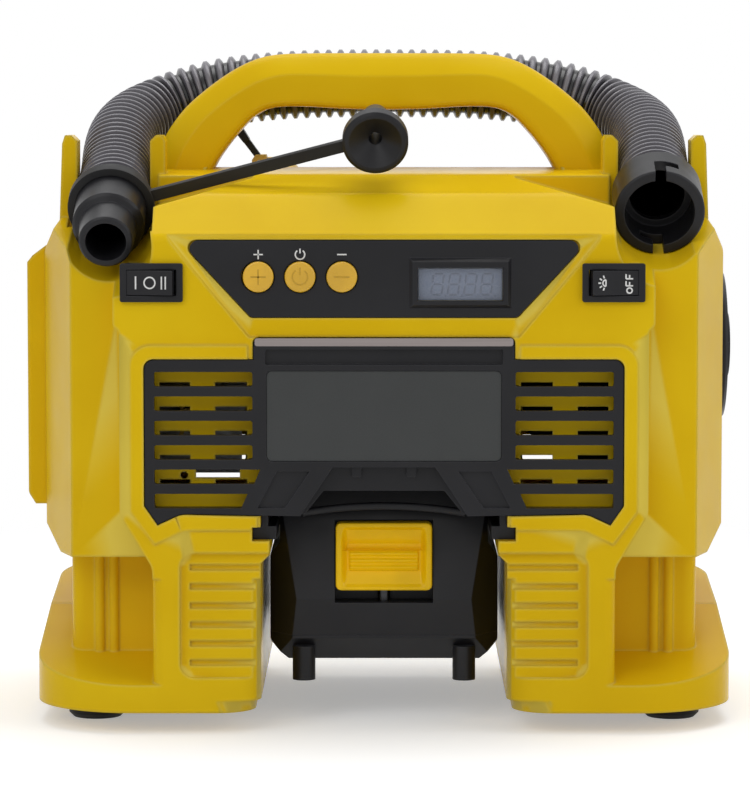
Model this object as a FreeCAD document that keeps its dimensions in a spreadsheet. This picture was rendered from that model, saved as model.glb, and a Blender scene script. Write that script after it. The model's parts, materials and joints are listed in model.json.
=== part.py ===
"""Portable tire inflator: a two-shell moulded housing on two hollow legs, with a slide-in battery
between them, a pressure pump and a blower inside, and both hoses stowed on it.

Frame: millimetres, X to the right, Y to the back, Z up, origin on the floor under the middle.
The two shells meet on the plane Y = 0. Positions in the front half are given as a distance
forward of that plane, so a sketch on the XZ plane grows towards the viewer.
"""
import FreeCAD, Part
import Sketcher
import math
import os
import re
from FreeCAD import Placement, Rotation, Vector

SIZES = (
    # housing, seen from the front
    ("wall", 2.6, "moulded wall of the housing"),
    ("gap", 0.3, "clearance between fitted pieces"),
    ("front_reach", 85, "seam to the face of the raised shield"),
    ("hull_reach", 72.5, "seam to the outer front face of the hull"),
    ("rear_reach", 70, "seam to the rear face"),
    ("hull_half", 119.5, "half width of the hull"),
    ("hull_low", 60, "underside of the hull"),
    ("hull_corner_in", 6.5, "lower corner cut, across"),
    ("hull_corner_up", 8, "lower corner cut, up"),
    ("side_bevel_in", 11.5, "front side bevel, across"),
    ("side_bevel_back", 34, "front side bevel, along the depth"),
    ("shoulder_top", 178, "top of the shoulders under the hose ends"),
    ("shoulder_front", 165, "shoulder height at its front edge"),
    ("crown_half", 84, "half width of the raised middle"),
    ("crown_top", 193, "top of the raised middle"),
    ("shield_half", 90.4, "half width of the raised front shield"),
    ("shield_top", 169, "top of the flat shield face"),
    ("shield_low", 76, "where the shield turns in towards the leg"),
    ("field_extra", 2.1, "extra half width of the shield beside the switches"),
    ("field_low", 141, "lower end of that wider field"),
    ("leg_half", 79.4, "outer face of the legs"),
    ("leg_shoulder", 57.7, "where the leg's outer face starts"),
    ("bay_half", 42.3, "inner face of the legs"),
    ("bay_roof", 94, "ceiling over the battery"),
    ("ledge_in", 39.2, "ledges that carry the battery dock"),
    ("ledge_low", 62, "underside of these ledges"),
    ("dock_bite", 2.9, "how far the dock's lips reach into the legs"),
    ("dock_lip", 4.9, "height of the dock's lips"),
    ("waist_half", 110, "outer face of the waist columns"),
    ("waist_reach", 50, "seam to the front of the waist columns"),
    ("foot_half", 121.5, "half width over the feet"),
    ("foot_low", 7.4, "underside of the feet"),
    ("foot_front", 17, "foot height at the front"),
    ("foot_rise", 17, "how much the foot climbs to the seam"),
    ("foot_rear_rise", 9, "further climb behind the seam"),
    ("foot_round", 36, "outer front corner of a foot"),
    ("grip_in", 70, "outer end of the ribbed grips on the legs"),
    ("grip_low", 19.6, "lower end of the grips"),
    ("grip_high", 62.8, "upper end of the grips"),
    ("grip_deep", 2.4, "depth of the grips"),
    ("groove_pitch", 6.6, "grooves of the grips"),
    ("groove_high", 2, "width of a groove"),
    # handle
    ("handle_deep", 15, "half depth of the handle"),
    ("handle_top", 234, "top of the handle"),
    ("handle_out", 45, "half width of the flat grip, outside"),
    ("handle_in", 38, "half width of the grip, inside"),
    ("handle_under", 215.6, "underside of the grip at its ends"),
    ("handle_belly", 2, "how far the grip swells down in the middle"),
    ("arch_in", 64.5, "half width of the handle opening at its foot"),
    ("handle_bevel", 6, "bevel along the handle's outer edge"),
    # hose cradles
    ("cradle_out", 95, "hose ends, left and right of the middle"),
    ("cradle_top", 205, "tips of the fork lugs"),
    ("lug_thick", 5.3, "fork lug"),
    ("lug_front", 40, "front of the fork lugs"),
    ("lug_back", 26, "back of the fork lugs"),
    ("valley_from", 46, "inner end of the slope under the adapter strap"),
    ("valley_high", 190.2, "its height there"),
    ("valley_low", 179, "its height at the outer end"),
    ("valley_back", 43, "its rear end, forward of the seam"),
    ("hose_tilt", 22, "downward tilt of the hose ends, degrees"),
    ("nozzle_up", 181.5, "height of the left hose end, fork_at forward of the seam"),
    ("collar_up", 185.5, "height of the right hose end, same place"),
    ("fork_at", 50, "where the heights of the hose ends are taken"),
    ("trough_r", 15.9, "trough of the shoulder under a fitting"),
    ("hollow_top", 150, "top of the hollow under the shoulders"),
    # ribbed hose
    ("hose_r", 12.5, "crest radius of the ribbed hose"),
    ("hose_valley", 10.7, "valley radius"),
    ("hose_bore", 9.6, "bore radius"),
    ("hose_ribs", 46, "number of ribs"),
    ("hose_behind", 30, "hose line behind the seam, at the handle"),
    ("hose_height", 223.2, "hose line height over the middle"),
    # fascia and its inserts
    ("fascia_half", 81.8, "half width of the black front plate"),
    ("fascia_top", 136.6, "top of its middle"),
    ("fascia_mid", 44.5, "half width of its middle"),
    ("grille_top", 129.2, "top of its grilles"),
    ("fascia_side_low", 79.1, "lower end of its straight sides"),
    ("fascia_tip", 72.7, "height of its pointed tips"),
    ("tip_at", 77.5, "half distance between the tips"),
    ("fascia_low", 75.6, "lower edge beside the battery"),
    ("notch_low", 28.6, "half width of the battery notch, below"),
    ("notch_top", 17.5, "half width of the battery notch, above"),
    ("notch_up", 92.4, "top of the battery notch"),
    ("fascia_thick", 3, "plate of the grilles"),
    ("fascia_deep", 6, "seat of the fascia below the shield face"),
    ("slot_out", 78.5, "outer end of the grille slots"),
    ("slot_in", 44.9, "inner end of the grille slots"),
    ("slot_high", 5, "height of a slot"),
    ("slot_pitch", 8.36, "from one slot to the next"),
    ("slot_first", 120.1, "lower edge of the first slot"),
    ("fifth_in", 2.7, "how much further in the fifth slot reaches"),
    ("sixth_out", 1.7, "how much shorter the sixth slot is"),
    ("slot_lean", 2.2, "lean of the inner ends of these two"),
    ("fascia_proud", 0.4, "how far the plate stands out of its seat"),
    ("ramp_deep", 1.5, "slanted recesses beside the battery notch"),
    ("bead_wide", 5, "bead round the grilles"),
    ("bead_high", 0.9, "height of that bead"),
    ("label_half", 40.1, "half width of the blank label insert"),
    ("label_low", 94.5, "its lower edge"),
    ("label_high", 125.4, "its upper edge"),
    ("label_thick", 0.8, "label insert"),
    ("label_seat", 1.2, "recess of the label insert"),
    ("strip_high", 2.7, "satin strip"),
    ("strip_thick", 1.2, "satin strip, front to back"),
    ("slit_low", 127.6, "lower edge of the long slot over the label"),
    ("slit_high", 5.2, "height of that slot"),
    ("slit_deep", 2.4, "depth of that slot"),
    # control panel
    ("panel_top", 169.9, "top edge"),
    ("panel_low", 143.7, "lower edge"),
    ("panel_half_top", 67.2, "half width at the top"),
    ("panel_half_low", 45.5, "half width at the bottom"),
    ("panel_thick", 2, "panel plate"),
    ("panel_sink", 1.2, "how deep the field round the panel lies"),
    ("button_r", 5.25, "push buttons"),
    ("button_at", -28.6, "middle button"),
    ("button_step", 14.25, "from button to button"),
    ("button_up", 157.5, "height of the buttons"),
    ("button_proud", 1.9, "how far the buttons stand out"),
    ("button_stem", 1.6, "stem of a button"),
    ("button_travel", 1.0, "travel of a button"),
    ("lcd_at", 26, "middle of the display"),
    ("lcd_half", 14.6, "half width of the display window"),
    ("lcd_low", 149.2, "lower edge of the window"),
    ("lcd_high", 160.7, "upper edge of the window"),
    ("board_front", 72, "front of the control board"),
    ("bezel_wide", 2.8, "sloping frame round the window"),
    ("bezel_proud", 1.4, "height of that frame"),
    # rocker switches
    ("switch_half", 10.7, "half width of a switch frame"),
    ("switch_half_high", 6.6, "half height of a switch frame"),
    ("switch_up", 155.6, "height of the switches"),
    ("mode_at", -79.2, "mode switch"),
    ("lamp_at", 78.2, "lamp switch"),
    ("switch_rim", 1.6, "thickness of the frame's flange"),
    ("switch_deep", 14, "depth of the switch body"),
    ("rocker_half", 8.0, "half width of a rocker"),
    ("rocker_half_high", 4.2, "half height of a rocker"),
    ("rocker_pivot", 84.2, "rocker axis, forward of the seam"),
    ("trunnion_r", 0.9, "trunnions of a rocker"),
    ("rocker_tilt", 10, "tilt of a rocker at rest, degrees"),
    # battery
    ("pack_half", 40, "half width of the battery"),
    ("pack_neck", 36.4, "half width of its neck"),
    ("pack_rail", 39.3, "half width of its rails"),
    ("pack_low", 21.6, "underside"),
    ("pack_seam", 31, "parting line of its case"),
    ("pack_shoulder", 60, "shoulder below the neck"),
    ("pack_top", 83, "top of the pack"),
    ("pack_front", 63, "front face forward of the seam"),
    ("pack_back", 52, "rear face behind the seam"),
    ("rail_low", 71.8, "underside of its rails"),
    ("rail_high", 75.2, "top of its rails"),
    ("hump_low", 26.5, "half width of the raised middle of the pack, below"),
    ("hump_top", 20, "half width of the raised middle, above"),
    ("case_wall", 2.4, "wall of the pack's case"),
    ("cell_r", 9, "cells"),
    ("cell_long", 65, "cells"),
    ("cell_step", 18.6, "from cell to cell"),
    ("contact_step", 9, "from contact to contact"),
    ("contact_from", 26, "front end of the contact slots, behind the seam"),
    ("dock_back", 55, "rear end of the dock, behind the seam"),
    ("spring_r", 2.2, "latch spring"),
    ("peg_r", 4, "stub feet under the pack"),
    ("peg_at", 28, "half distance between them"),
    ("peg_low", 15, "underside of the stub feet"),
    ("latch_half", 16.8, "half width of the latch"),
    ("latch_low", 47, "lower edge of the latch"),
    ("latch_high", 70.7, "upper edge of the latch"),
    ("latch_travel", 4, "travel of the latch"),
    # feet, screws
    ("pad_r", 10, "rubber feet"),
    ("pad_at", 101.5, "half distance between them"),
    ("pad_front", 44, "front pair, forward of the seam"),
    ("pad_sunk", 2.5, "how deep they sit in the housing"),
    ("screw_r", 1.9, "housing screws"),
    ("boss_r", 4.2, "screw bosses"),
    ("screw_side", 108, "side screws"),
    ("screw_high", 152, "upper side screws"),
    ("screw_low", 74, "lower side screws"),
    ("screw_leg", 60, "leg screws"),
    ("screw_leg_up", 24, "height of the leg screws"),
    ("screw_head_r", 3.4, "screw heads"),
    ("screw_head_deep", 3, "how deep the heads are sunk"),
    # rear
    ("lamp_half", 32, "half width of the lamp lens"),
    ("lamp_low", 138, "lower edge of the lamp lens"),
    ("lamp_high", 154, "upper edge of the lamp lens"),
    ("rear_vent_at", 48, "inner end of the rear vents"),
    ("rear_vent_low", 66, "lowest rear vent"),
    # outlet on the right, cover on the left
    ("side_reach", 126.5, "outer face of the blower port and of the side cover"),
    ("port_up", 127.5, "height of the blower port"),
    ("port_back", 20, "the port, behind the seam"),
    ("port_r", 27.4, "flange of the port"),
    ("spigot_r", 11.6, "spigot that the collar locks on"),
    ("spigot_bore", 9.6, "bore of the spigot"),
    ("cover_low", 74, "lower edge of the side cover"),
    ("cover_high", 166, "upper edge of the side cover"),
    ("cover_half", 31, "half width of the side cover"),
    ("cover_thick", 2, "wall of the side cover"),
    ("hinge_x", 122.2, "hinge line of the side cover, left of the middle"),
    ("hinge_y", 33.4, "hinge line of the side cover, behind the seam"),
    ("hinge_r", 2.2, "hinge knuckles"),
    ("pin_r", 0.9, "hinge pin"),
    ("ear_low", 88, "lower hinge ear"),
    ("ear_high", 146, "upper hinge ear"),
    ("ear_high_size", 6, "height of an ear"),
    ("tray_wall", 1.6, "wall of the tray"),
    ("tray_low", 84, "tray behind the side cover"),
    ("tray_high", 142, "top of the tray"),
    ("tray_half", 22, "half width of the tray"),
    ("tray_deep", 20, "depth of the tray"),
    # pressure pump
    ("motor_r", 18, "pump motor"),
    ("motor_long", 43, "pump motor"),
    ("pump_at", -70, "crank axis, across"),
    ("pump_up", 128, "crank axis, height"),
    ("plate_front", 21, "front of the pump's plate, forward of the seam"),
    ("plate_thick", 3, "pump plate"),
    ("gear_front", 33, "front face of the gears, forward of the seam"),
    ("gear_teeth", 24, "crank gear"),
    ("pinion_teeth", 8, "motor pinion"),
    ("gear_module", 1.5, "tooth size"),
    ("gear_wide", 6, "face width"),
    ("crank_throw", 4, "crank radius"),
    ("crank_pin_r", 2, "crank pin"),
    ("rod_thick", 5, "connecting rod"),
    ("rod_long", 28, "connecting rod, eye to eye"),
    ("piston_r", 12, "piston"),
    ("piston_long", 20, "piston"),
    ("cylinder_wall", 1.6, "wall of the cylinder"),
    ("cylinder_from", 22, "crank axis to the open end of the cylinder"),
    ("cylinder_long", 30, "cylinder"),
    # blower
    ("blower_at", 78, "blower axis, across"),
    ("blower_up", 116, "blower axis, height"),
    ("scroll_r", 32, "blower housing"),
    ("scroll_wide", 28, "blower housing, front to back"),
    ("impeller_r", 26, "impeller"),
    ("impeller_wide", 18, "impeller blades, front to back"),
    ("blade_count", 12, "impeller blades"),
    ("shaft_r", 1.6, "motor shafts"),
    # pressure hose, stowed on the rear face
    ("line_r", 4, "pressure hose"),
    ("line_back", 80.6, "line of the pressure hose behind the seam"),
    ("line_turn", 36.5, "half turn on the right"),
    ("line_left", -95, "outlet of the hose, across"),
    ("line_right", 95, "outer end of the half turn"),
    ("line_low", 101, "lower run"),
    ("fitting_r", 5.5, "outlet fitting"),
    ("chuck_at", -41, "chuck, across"),
    ("chuck_low", 164, "underside of the chuck"),
    ("chuck_r", 8.5, "knurled ring of the chuck"),
    ("chuck_body_r", 7.2, "body of the chuck"),
    ("valve_r", 3.95, "mouth of the chuck, for a tyre valve"),
    ("peg_thick", 3.4, "peg that the chuck is parked on"),
    ("chuck_high", 195, "top of the chuck"),
    ("lever_long", 15, "lever of the chuck"),
    # fittings of the ribbed hose, along their own axis
    ("nozzle_r", 12.4, "body of the nozzle"),
    ("nozzle_step", 20, "length of that body"),
    ("nozzle_long", 33, "nozzle"),
    ("tip_r", 9.3, "tip of the nozzle"),
    ("tip_bore", 7, "bore of the nozzle"),
    ("ring_r", 15.1, "ring of the adapter strap"),
    ("ring_long", 4.7, "width of that ring"),
    ("collar_r", 15.6, "bayonet collar"),
    ("collar_bore", 12.1, "bore of the collar"),
    ("collar_long", 18.3, "collar"),
    ("arm_across", 92, "nozzle axis to cone adapter, across"),
    ("arm_up", 25.9, "nozzle axis to cone adapter, up"),
    ("arm_wide", 4.2, "strap arm"),
    ("arm_thick", 2, "strap arm"),
    ("cone_mouth", 11.4, "mouth of the cone adapter"),
    ("cone_neck", 7.5, "neck of the cone adapter"),
    ("cone_long", 18, "cone behind its neck"),
    ("cone_bore", 2.25, "bore of the cone adapter"),
)

DOC = FreeCAD.newDocument("tire_inflator")
SHEET = DOC.addObject("Spreadsheet::Sheet", "Sizes")
PARTS = []


def fill_sheet():
    """One row per size: name, value, meaning."""
    for row, (name, size, meaning) in enumerate(SIZES, 1):
        SHEET.set("A%d" % row, name)
        SHEET.set("B%d" % row, str(size))
        SHEET.set("C%d" % row, meaning)
        SHEET.setAlias("B%d" % row, name)
    DOC.recompute()


NAMES = {row[0] for row in SIZES}


def bound(text):
    """An expression on the sheet: every size named in text reads its cell."""
    return re.sub(r"[a-z_][a-z_0-9]*", lambda m: "Sizes." + m.group(0) if m.group(0) in NAMES else m.group(0),
                  str(text))


def number(text):
    """The present value of such an expression."""
    result = SHEET.evalExpression(bound(text))
    return float(getattr(result, "Value", result))


def new_body(name):
    """An empty body that will be written out under this name."""
    body = DOC.addObject("PartDesign::Body", name)
    body.Label = name
    body.AllowCompound = True
    PARTS.append(body)
    return body


def flip(loop):
    """The mirror image of a loop on the other side of the middle plane."""
    if loop[0] == "circle":
        return ("circle", "-(%s)" % loop[1]) + tuple(loop[2:])
    return [("-(%s)" % corner[0],) + tuple(corner[1:]) for corner in reversed(loop)]


def both(*loops):
    """Each loop and its mirror image."""
    return tuple(loops) + tuple(flip(loop) for loop in loops)


def whole(half):
    """A closed symmetric loop from its right half, listed from the top to the bottom."""
    return list(half) + flip(half)


def box(low_u, low_w, high_u, high_w, radius=None):
    """A rectangle, with rounded corners if a radius is given."""
    tail = () if radius is None else (radius,)
    return [(low_u, low_w) + tail, (high_u, low_w) + tail, (high_u, high_w) + tail, (low_u, high_w) + tail]


def draw_circle(sketch, across, up, radius):
    """A circle held by its centre and radius."""
    centre = Vector(number(across), number(up), 0)
    index = sketch.addGeometry(Part.Circle(centre, Vector(0, 0, 1), number(radius)), False)
    for kind, text in (("DistanceX", across), ("DistanceY", up)):
        made = sketch.addConstraint(Sketcher.Constraint(kind, -1, 1, index, 3, number(text)))
        sketch.setExpression("Constraints[%d]" % made, bound(text))
    made = sketch.addConstraint(Sketcher.Constraint("Radius", index, number(radius)))
    sketch.setExpression("Constraints[%d]" % made, bound(radius))


def corner_arc(before, corner, after, radius):
    """The arc that rounds a corner: its curve, its two tangent points and which way it turns."""
    come = (corner - before).normalize()
    leave = (after - corner).normalize()
    turn = math.atan2(come.x * leave.y - come.y * leave.x, come.dot(leave))
    reach = radius * math.tan(abs(turn) / 2)
    enter = corner - come * reach
    exit_point = corner + leave * reach
    side = 1 if turn > 0 else -1
    centre = enter + Vector(-come.y, come.x, 0) * radius * side
    first, last = (enter, exit_point) if side > 0 else (exit_point, enter)
    start = math.atan2(first.y - centre.y, first.x - centre.x)
    end = math.atan2(last.y - centre.y, last.x - centre.x)
    circle = Part.Circle(centre, Vector(0, 0, 1), radius)
    return Part.ArcOfCircle(circle, start, end), enter, exit_point, side


def draw_outline(sketch, corners):
    """A closed outline through corners given as (across, up) or (across, up, radius).

    Every corner is held by its two distances from the origin. A rounded one keeps its corner as a
    construction point on both lines, and its arc is tangent to them.
    """
    count = len(corners)
    points = [Vector(number(c[0]), number(c[1]), 0) for c in corners]
    arcs = {}
    for i, corner in enumerate(corners):
        if len(corner) > 2:
            arcs[i] = corner_arc(points[i - 1], points[i], points[(i + 1) % count], number(corner[2]))
    lines = []
    for i in range(count):
        nxt = (i + 1) % count
        start = arcs[i][2] if i in arcs else points[i]
        end = arcs[nxt][1] if nxt in arcs else points[nxt]
        lines.append(sketch.addGeometry(Part.LineSegment(start, end), False))
    wanted = []
    expressions = []
    for i, corner in enumerate(corners):
        incoming, outgoing = lines[i - 1], lines[i]
        if i in arcs:
            curve, _, _, side = arcs[i]
            arc = sketch.addGeometry(curve, False)
            mark = sketch.addGeometry(Part.Point(points[i]), True)
            first, last = (1, 2) if side > 0 else (2, 1)
            wanted.append(Sketcher.Constraint("Tangent", incoming, 2, arc, first))
            wanted.append(Sketcher.Constraint("Tangent", arc, last, outgoing, 1))
            wanted.append(Sketcher.Constraint("PointOnObject", mark, 1, incoming))
            wanted.append(Sketcher.Constraint("PointOnObject", mark, 1, outgoing))
            wanted.append(Sketcher.Constraint("Radius", arc, number(corner[2])))
            expressions.append((len(wanted) - 1, corner[2]))
            held = mark
        else:
            wanted.append(Sketcher.Constraint("Coincident", incoming, 2, outgoing, 1))
            held = outgoing
        for kind, text, size in (("DistanceX", corner[0], points[i].x), ("DistanceY", corner[1], points[i].y)):
            wanted.append(Sketcher.Constraint(kind, -1, 1, held, 1, size))
            expressions.append((len(wanted) - 1, text))
    offset = sketch.ConstraintCount
    sketch.addConstraint(wanted)
    for index, text in expressions:
        sketch.setExpression("Constraints[%d]" % (offset + index), bound(text))


def draw(body, name, plane, loops, lift="0", tilt=None, height="0"):
    """A sketch with these loops on one of the body's origin planes, lifted along its normal.

    With a tilt the sketch leans about its own across axis, at the given height.
    """
    sketch = body.newObject("Sketcher::SketchObject", name)
    support = [f for f in body.Origin.OriginFeatures if f.Role == plane + "_Plane"][0]
    sketch.AttachmentSupport = [(support, "")]
    sketch.MapMode = "FlatFace"
    if tilt is not None:
        sketch.AttachmentOffset = Placement(Vector(0, 0, 0), Rotation(Vector(1, 0, 0), number(tilt)))
        sketch.setExpression("AttachmentOffset.Rotation.Angle", bound(tilt))
        sketch.setExpression("AttachmentOffset.Base.y", bound(height))
    sketch.setExpression("AttachmentOffset.Base.z", bound(lift))
    for loop in loops:
        if loop[0] == "circle":
            draw_circle(sketch, *loop[1:])
        else:
            draw_outline(sketch, loop)
    return sketch


def pad(body, name, plane, start, end, *loops):
    """Material between two heights over the plane."""
    feature = body.newObject("PartDesign::Pad", name)
    feature.Profile = draw(body, name + "_outline", plane, loops, start)
    feature.setExpression("Length", bound("(%s) - (%s)" % (end, start)))
    return feature


def cut(body, name, plane, start, end, *loops):
    """Material taken away between two heights over the plane."""
    feature = body.newObject("PartDesign::Pocket", name)
    feature.Profile = draw(body, name + "_outline", plane, loops, start)
    feature.Reversed = True
    feature.setExpression("Length", bound("(%s) - (%s)" % (end, start)))
    return feature


def turn(body, name, plane, loop, axis="V_Axis", groove=False):
    """A profile turned once round the sketch's own axis."""
    kind = "PartDesign::Groove" if groove else "PartDesign::Revolution"
    feature = body.newObject(kind, name)
    sketch = draw(body, name + "_profile", plane, (loop,))
    feature.Profile = sketch
    feature.ReferenceAxis = (sketch, [axis])
    feature.Angle = 360
    return feature


def soften(body, name, radius, chosen, kind="Fillet"):
    """Rounds, or bevels, the edges of the body so far for which chosen(edge) holds."""
    DOC.recompute()
    tip = body.Tip
    edges = ["Edge%d" % i for i, edge in enumerate(tip.Shape.Edges, 1) if chosen(edge)]
    feature = body.newObject("PartDesign::" + kind, name)
    feature.Base = (tip, edges)
    feature.setExpression("Radius" if kind == "Fillet" else "Size", bound(radius))
    return feature


def place(body, across, back, up, axis=None, angle="0"):
    """Moves a body to its seat, turned about one axis."""
    if axis is not None:
        body.Placement = Placement(Vector(0, 0, 0), Rotation(Vector(*axis), number(angle)))
        body.setExpression("Placement.Rotation.Angle", bound(angle))
    for letter, text in (("x", across), ("y", back), ("z", up)):
        body.setExpression("Placement.Base." + letter, bound(text))


def span(side, near, far):
    """Start and end, forward of the seam, of something on the front (1) or the rear (-1) half."""
    return (near, far) if side > 0 else ("-(%s)" % far, "-(%s)" % near)


def depth(side, distance):
    """The Y of a point this far from the seam on the front (1) or the rear (-1) half."""
    return "-(%s)" % distance if side > 0 else distance


def arch(outer, inner):
    """The handle's arch, its band thinned by outer and inner."""
    half = [
        ("handle_out - %s / 2" % outer, "handle_top - %s" % outer, "14 - %s / 2" % outer),
        ("crown_half - %s * 1.4" % outer, "crown_top - wall - 2"),
        ("arch_in + %s * 1.1" % inner, "crown_top - wall - 2"),
        ("arch_in + %s * 1.1" % inner, "crown_top - 1", 5),
        ("handle_in + %s / 2" % inner, "handle_under + %s" % inner, 14),
    ]
    return half + [("0", "handle_under - handle_belly + %s" % inner, 60)] + flip(half)


def outer_arch_edge(edge):
    """True for the front and rear edges along the outside of the handle."""
    middle = edge.CenterOfMass
    flat = edge.BoundBox.YLength < 0.01 and abs(abs(middle.y) - number("handle_deep")) < 0.01
    limit = number("handle_out + handle_top + handle_in + handle_under") / 2
    return flat and (abs(middle.x) + middle.z > limit or middle.z > number("handle_under + 8"))


def outer_form(body, side, reach, foot_reach):
    """Handle half, foot, legs, waist columns, hull and crown of one half of the housing."""
    pad(body, "handle", "XZ", *span(side, "0", "handle_deep"), arch("0", "0"))
    soften(body, "handle_bevels", "handle_bevel", outer_arch_edge, "Chamfer")
    rise = "foot_rise" if side > 0 else "foot_rise + foot_rear_rise"
    corner = "foot_round" if side > 0 else "foot_round - 8"
    foot = [
        ("bay_half + 2", "0"), ("foot_half", "0"),
        ("foot_half", depth(side, foot_reach), corner), ("bay_half + 2", depth(side, foot_reach), 14),
    ]
    pad(body, "feet", "XY", "foot_low", "foot_front + " + rise, *both(foot))
    far = depth(side, foot_reach + " + 5")
    end = "foot_front - 1" if side > 0 else "foot_front + foot_rise + foot_rear_rise"
    slope = [("0", "foot_front + foot_rise"), ("0", "foot_front + 60"), (far, "foot_front + 60"), (far, end)]
    cut(body, "foot_slope", "YZ", "-foot_half - 1", "foot_half + 1", slope)
    leg = [
        ("bay_half", "0"), ("leg_half", "0"), ("leg_half", depth(side, foot_reach), 4),
        ("bay_half", depth(side, foot_reach), 9),
    ]
    pad(body, "legs", "XY", "foot_low + 4", "leg_shoulder + 12", *both(leg))
    waist = [
        ("leg_half - 1", "0"), ("waist_half", "0"), ("waist_half", depth(side, "waist_reach"), 5),
        ("leg_half - 1", depth(side, "waist_reach")),
    ]
    ridges = [("circle", at, depth(side, "waist_reach"), 1.7) for at in ("waist_half - 10", "waist_half - 15")]
    pad(body, "waist", "XY", "foot_low + 4", "hull_low + 1", *both(waist))
    pad(body, "waist_ridges", "XY", "foot_front", "hull_low + 1", *both(*ridges))
    hull = whole([
        ("hull_half - 7", "shoulder_top", 3), ("hull_half", "shoulder_top - 13", 6),
        ("hull_half", "hull_low + hull_corner_up"), ("hull_half - hull_corner_in", "hull_low"),
    ])
    pad(body, "hull", "XZ", *span(side, "0", reach), hull)
    bevel = [
        ("hull_half", depth(side, reach + " - side_bevel_back")),
        ("hull_half + 9", depth(side, reach + " - side_bevel_back")),
        ("hull_half + 9", depth(side, reach + " + 9")),
        ("hull_half - side_bevel_in", depth(side, reach + " + 9")),
        ("hull_half - side_bevel_in", depth(side, reach)),
    ]
    cut(body, "side_bevels", "XY", "hull_low - 1", "shoulder_top + 1", *both(bevel))
    fall = [
        (depth(side, "35"), "shoulder_top"), (depth(side, "35"), "shoulder_top + 9"),
        (depth(side, reach + " + 9"), "shoulder_top + 9"), (depth(side, reach + " + 9"), "shoulder_front - 3"),
        (depth(side, reach), "shoulder_front"),
    ]
    cut(body, "right_shoulder", "YZ", "crown_half", "hull_half + 1", fall)
    cut(body, "left_shoulder", "YZ", "-hull_half - 1", "-crown_half", fall)


def crown_line(side, inset):
    """Side view of the raised middle, from the seam down to its face, inset by a wall."""
    face = "front_reach" if side > 0 else "rear_reach"
    low = "shield_top + 2" if side > 0 else "crown_top - 14"
    return [
        ("0", "bay_roof + 20"), ("0", "crown_top - %s" % inset),
        (depth(side, "40"), "crown_top - 1.5 - %s" % inset, 30),
        (depth(side, face + " - 17"), "crown_top - 7.5 - %s" % inset, 12),
        (depth(side, "%s - %s" % (face, inset)), "%s - %s / 2" % (low, inset), 4),
        (depth(side, "%s - %s" % (face, inset)), "bay_roof + 20"),
    ]


def bay_line():
    """Right half of the passage between the legs, with the steps that carry the battery dock."""
    return [
        ("bay_half", "bay_roof"), ("bay_half", "rail_low"), ("bay_half + dock_bite", "rail_low"),
        ("bay_half + dock_bite", "rail_low - dock_lip"), ("ledge_in", "rail_low - dock_lip"),
        ("ledge_in", "ledge_low"), ("bay_half", "ledge_low - 3"), ("bay_half", "0"),
    ]


def valley(lower):
    """What the slope under the adapter strap takes off the raised middle, on the right."""
    return [
        ("valley_from", "valley_high - " + lower), ("cradle_out - 9", "valley_low - " + lower),
        ("cradle_out", "valley_low - " + lower), ("cradle_out", "crown_top + 9"), ("valley_from", "crown_top + 9"),
    ]


def spaces(body, side, reach, face):
    """The inside of one half of the housing, less its screw bosses."""
    corner = ("hull_half - hull_corner_in - wall / 2", "hull_low + wall")
    base = [("bay_half + wall + dock_bite", "hull_low + wall"), ("bay_half + wall + dock_bite", "bay_roof + wall")]
    inner = whole([
        ("hull_half - wall", "hollow_top"), ("hull_half - wall", "hull_low + hull_corner_up + wall / 2"), corner,
    ] + base)
    narrow = whole([
        ("hull_half - side_bevel_in - wall", "hollow_top"),
        ("hull_half - side_bevel_in - wall", "hull_low + wall"),
    ] + base)
    pad(body, "hull_inside", "XZ", *span(side, "0", reach + " - side_bevel_back"), inner)
    pad(body, "hull_front_inside", "XZ", *span(side, "0", reach + " - wall"), narrow)
    half = "cradle_out - trough_r - wall"
    line = crown_line(side, "wall")
    if side > 0:
        line[-2:] = [
            (depth(side, "front_reach - fascia_deep - wall"), "panel_top + 1"),
            (depth(side, "front_reach - fascia_deep - wall"), "bay_roof + 20"),
        ]
    pad(body, "crown_inside", "YZ", "-(%s)" % half, half, line)
    if side > 0:
        cut(body, "strap_slope_wall", "XZ", "valley_back - wall", "front_reach", *both(valley("wall * 1.1")))
    leg = box("bay_half + wall + dock_bite", "foot_low + wall", "leg_half - wall", "hull_low + wall + 2")
    pad(body, "leg_inside", "XZ", *span(side, "0", face), *both(leg))
    waist = box("leg_half - wall - 1", "foot_low + wall", "waist_half - wall", "hull_low + wall + 2")
    pad(body, "waist_inside", "XZ", *span(side, "0", "waist_reach - wall"), *both(waist))
    foot = box("waist_half - wall - 1", "foot_low + wall", "foot_half - wall", "foot_front + 4")
    pad(body, "foot_inside", "XZ", *span(side, "0", "front_reach - foot_round - 9"), *both(foot))
    pad(body, "handle_inside", "XZ", *span(side, "0", "handle_deep - wall"), arch("6", "3.4"))
    if side > 0:
        sides = box("bay_half + wall + dock_bite", "hull_low + wall", "shield_half - wall", "hollow_top")
        sides[1] = ("leg_half - wall", "hull_low + wall")
        sides.insert(2, ("shield_half - wall", "shield_low + 3"))
        pad(body, "shield_inside", "XZ", "0", "front_reach - fascia_deep - wall", *both(sides))
        pad(body, "panel_inside", "XZ", "front_reach - fascia_deep - wall - 9",
            "front_reach - panel_sink - panel_thick - wall",
            box("-panel_half_low - 10", "panel_low + 2", "panel_half_low + 10", "panel_top - 3"))
    cut(body, "screw_bosses", "XZ", *span(side, "0", "front_reach"), *screw_rings("boss_r"))


def screw_rings(radius):
    """A circle of this radius at each housing screw."""
    spots = (("screw_side", "screw_high"), ("screw_side", "screw_low"), ("screw_leg", "screw_leg_up"))
    return both(*(("circle", across, up, radius) for across, up in spots))


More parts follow.
